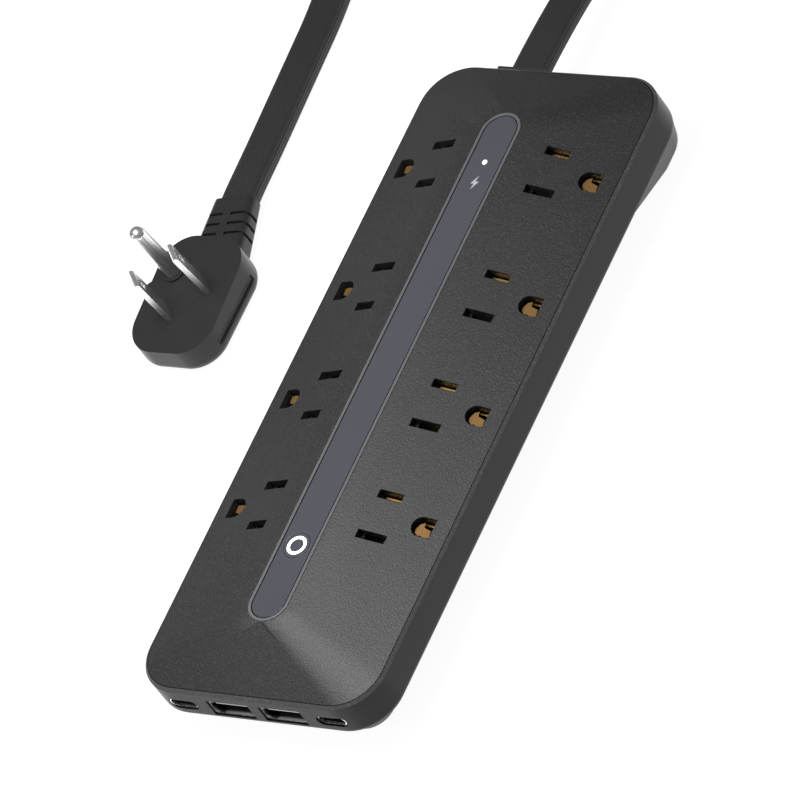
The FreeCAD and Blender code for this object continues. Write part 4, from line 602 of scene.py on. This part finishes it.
strip_route = [
    (-13.3, 99.0, 14.5),
    (-13.3, 118.0, 14.5),
    (-13.0, 150.0, 10.8),
    (-10.0, 180.0, 5.4),
]
plug_route = [
    (-109.6, 208.0, 13.9),
    (-106.6, 180.0, 13.5),
    (-103.4, 156.0, 5.6),
    (-101.2, 134.0, 2.25),
    (-99.9, 106.0, 2.25),
    (-98.4, 82.0, 2.6),
    (-95.7, 62.0, 5.0),
    (-94.2, 54.0, 5.3),
]


def smooth_share(value):
    """A share that is held between 0 and 1 and eased at both ends."""
    held = np.clip(value, 0, 1)
    return held * held * (3 - 2 * held)


def coil_route():
    """A flat spiral: the radius falls evenly with the angle, and the last turn climbs to cross the others."""
    first, last = COIL_ANGLES
    count = round((last - first) / 360 * POINTS_PER_TURN)
    angles = np.linspace(first, last, count + 1)
    radii = np.interp(angles, COIL_ANGLES, COIL_RADII)
    rise = smooth_share((angles - RISE_START) / (last - RISE_START))
    x = COIL_CENTRE[0] + radii * np.cos(np.radians(angles))
    y = COIL_CENTRE[1] + radii * np.sin(np.radians(angles))
    z = RING_HEIGHT + (CROSSING_HEIGHT - RING_HEIGHT) * rise
    return list(zip(x, y, z))


def spline_points(points):
    """Points read from one smooth NURBS spline whose control points are the route, in metres."""
    data = bpy.data.curves.new("cord_line", "CURVE")
    data.dimensions = "3D"
    data.resolution_u = SPLINE_STEPS
    spline = data.splines.new("NURBS")
    spline.points.add(len(points) - 1)
    flat = np.column_stack([np.array(points) * MM, np.ones(len(points))])
    spline.points.foreach_set("co", flat.ravel())
    spline.order_u = 3
    spline.use_endpoint_u = True
    holder = bpy.data.objects.new("cord_line", data)
    mesh = bpy.data.meshes.new_from_object(holder)
    found = np.zeros(len(mesh.vertices) * 3)
    mesh.vertices.foreach_get("co", found)
    bpy.data.objects.remove(holder)
    bpy.data.meshes.remove(mesh)
    bpy.data.curves.remove(data)
    return found.reshape(-1, 3)


def tube_faces(rows, columns):
    """Quads between neighbouring points of a grid whose rows close on themselves."""
    index = np.arange(rows * columns).reshape(rows, columns)
    index = np.column_stack([index, index[:, :1]])
    a, b = index[:-1, :-1], index[:-1, 1:]
    c, e = index[1:, 1:], index[1:, :-1]
    return np.stack([a, b, c, e], axis=-1).reshape(-1, 4)


def rounded_section(half_width, half_height, corner, per_corner=6, per_side=5):
    """Points round a rectangle with rounded corners: four quarter circles, each joined to the next by
    evenly spaced points, anticlockwise from the right side's lower end."""
    across, rise = half_width - corner, half_height - corner
    centres = np.array([(across, rise), (-across, rise), (-across, -rise), (across, -rise)])
    turns = np.linspace(0, math.pi / 2, per_corner + 1)
    parts = []
    for k, centre in enumerate(centres):
        angle = turns + k * math.pi / 2
        arc = centre + corner * np.column_stack([np.cos(angle), np.sin(angle)])
        following = centres[(k + 1) % 4]
        start_next = (k + 1) * math.pi / 2
        landing = following + corner * np.array([math.cos(start_next), math.sin(start_next)])
        steps = np.linspace(0, 1, per_side + 2)[1:-1, None]
        parts += [arc, arc[-1] + (landing - arc[-1]) * steps]
    return np.vstack(parts)


def distances(path):
    """How far along a path each of its points is."""
    return np.concatenate([[0], np.cumsum(np.linalg.norm(np.diff(path, axis=0), axis=1))])


def path_frames(path):
    """Level side vectors square to the path, and upward vectors square to both."""
    tangent = np.gradient(path, axis=0)
    tangent /= np.linalg.norm(tangent, axis=1)[:, None]
    side = np.cross(tangent, (0, 0, 1))
    side /= np.linalg.norm(side, axis=1)[:, None]
    return side, np.cross(side, tangent)


def write_uv(mesh, lengths, around):
    """A UV map with the distance along in U and the distance round in V, both in metres. On the quads that
    close the tube, the distance round goes on past the last point."""
    corners = np.zeros(len(mesh.loops), dtype=np.int32)
    mesh.loops.foreach_get("vertex_index", corners)
    columns = len(around)
    row = corners // columns
    place = around[corners % columns].reshape(-1, 4)
    half_round = around[-1] / 2
    closing = np.ptp(place, axis=1) > half_round
    behind = closing[:, None] & (place < half_round)
    place = np.where(behind, place + around[-1] + around[1], place).ravel()
    layer = mesh.uv_layers.new(name="UVMap")
    layer.data.foreach_set("uv", np.column_stack([lengths[row], place]).ravel())


def nearest(path, spot):
    """The index of the path's point nearest to a spot given in millimetres."""
    return np.argmin(np.linalg.norm(path - np.array(spot) * MM, axis=1))


def make_cord():
    """The jacket: a rounded flat section carried along the route's spline, turned on edge in the ring by an
    angle that blends in and out smoothly along the cord."""
    coil = coil_route()
    path = spline_points(strip_route + coil + plug_route)
    along = distances(path)
    side, up = path_frames(path)
    into = (along - along[nearest(path, coil[0])] + EDGE_ON_LEAD) / TURNING_RUN
    out = (along[nearest(path, coil[-1])] - EDGE_ON_REST - along) / TURNING_RUN
    edge_on = (smooth_share(np.minimum(into, out)) * math.pi / 2)[:, None]
    across = side * np.cos(edge_on) + up * np.sin(edge_on)
    through = up * np.cos(edge_on) - side * np.sin(edge_on)
    section = rounded_section(CORD_WIDTH / 2, CORD_THICKNESS / 2, CORD_ROUND)
    points = (
        path[:, None, :]
        + section[None, :, :1] * across[:, None, :]
        + section[None, :, 1:] * through[:, None, :]
    )
    cord = new_object("flat_cord", points.reshape(-1, 3), tube_faces(len(path), len(section)))
    write_uv(cord.data, along, distances(section))
    builder = bmesh.new()
    builder.from_mesh(cord.data)
    bmesh.ops.holes_fill(builder, edges=[edge for edge in builder.edges if edge.is_boundary])
    bmesh.ops.recalc_face_normals(builder, faces=builder.faces)
    builder.to_mesh(cord.data)
    builder.free()
    return cord, path


def cord_finish():
    """Matte rubber with fine ribs along it: a sine of the distance round the jacket."""
    finish = Finish("cord_rubber", IOR=1.48)
    round_jacket = finish.coordinate(1, finish.node("ShaderNodeTexCoord", "UV"))
    ribs = (round_jacket * (2 * math.pi / RIB_PITCH)).math("SINE")
    grain = finish.noise(1400.0, 3.0)
    finish.set(
        Base_Color=finish.mix(grain, grey(0.019, 0.05), grey(0.030, 0.05)),
        Roughness=0.5 + grain * 0.08,
    )
    return finish.bump(ribs * 0.5 + grain * 0.3, 0.2 * MM, 0.9)


gland = refine("cord_gland", 0.4 * MM)
dress(plain_finish("gland_rubber", grey(0.03, 0.05), 0.5), gland.name)
flat_cord, cord_path = make_cord()
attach(flat_cord, "strip")
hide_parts("cord_strip_side", "cord_coil", "cord_plug_side")
dress(cord_finish(), flat_cord.name)


# ---------------------------------------------------------------- studio
# A white sweep that glows a little, a dim even surround and two soft boxes: one close overhead towards the
# ports, and a weak one low on the left, near the ports' end.
FLOOR_REACH = 6.0
SURROUND = 0.22


def area_light(name, place, target, size, energy):
    """A soft box that faces its target."""
    data = bpy.data.lights.new(name, "AREA")
    data.shape = "RECTANGLE"
    data.size, data.size_y = size
    data.energy = energy
    light = bpy.data.objects.new(name, data)
    aim = Vector(target) - Vector(place)
    light.matrix_world = Matrix.Translation(place) @ aim.to_track_quat("-Z", "Y").to_matrix().to_4x4()
    scene.collection.objects.link(light)


def make_floor():
    """One large white square that glows a little."""
    corners = [(x * FLOOR_REACH, y * FLOOR_REACH, 0) for x, y in ((-1, -1), (1, -1), (1, 1), (-1, 1))]
    floor = new_object("floor", corners, [(0, 1, 2, 3)])
    finish = Finish("floor_white", Roughness=0.9, Emission_Strength=1.0)
    grain = finish.noise(3.0)
    finish.set(
        Base_Color=finish.mix(grain, grey(0.3), grey(0.32)),
        Emission_Color=finish.mix(grain, grey(0.93), grey(0.94)),
    )
    dress(finish, floor.name)


def make_studio():
    """The surround and the two boxes."""
    world = bpy.data.worlds.new("surround")
    world.use_nodes = True
    background = world.node_tree.nodes["Background"]
    background.inputs["Color"].default_value = (1, 1, 1, 1)
    background.inputs["Strength"].default_value = SURROUND
    scene.world = world
    scene.view_settings.view_transform = "Standard"
    area_light("overhead_box", (-0.06, -0.03, 0.38), (0.02, -0.09, 0.02), (0.16, 0.22), 1.5)
    area_light("low_box", (-0.36, -0.37, 0.24), (0.0, 0.0, 0.02), (0.10, 0.10), 0.22)


make_floor()
make_studio()
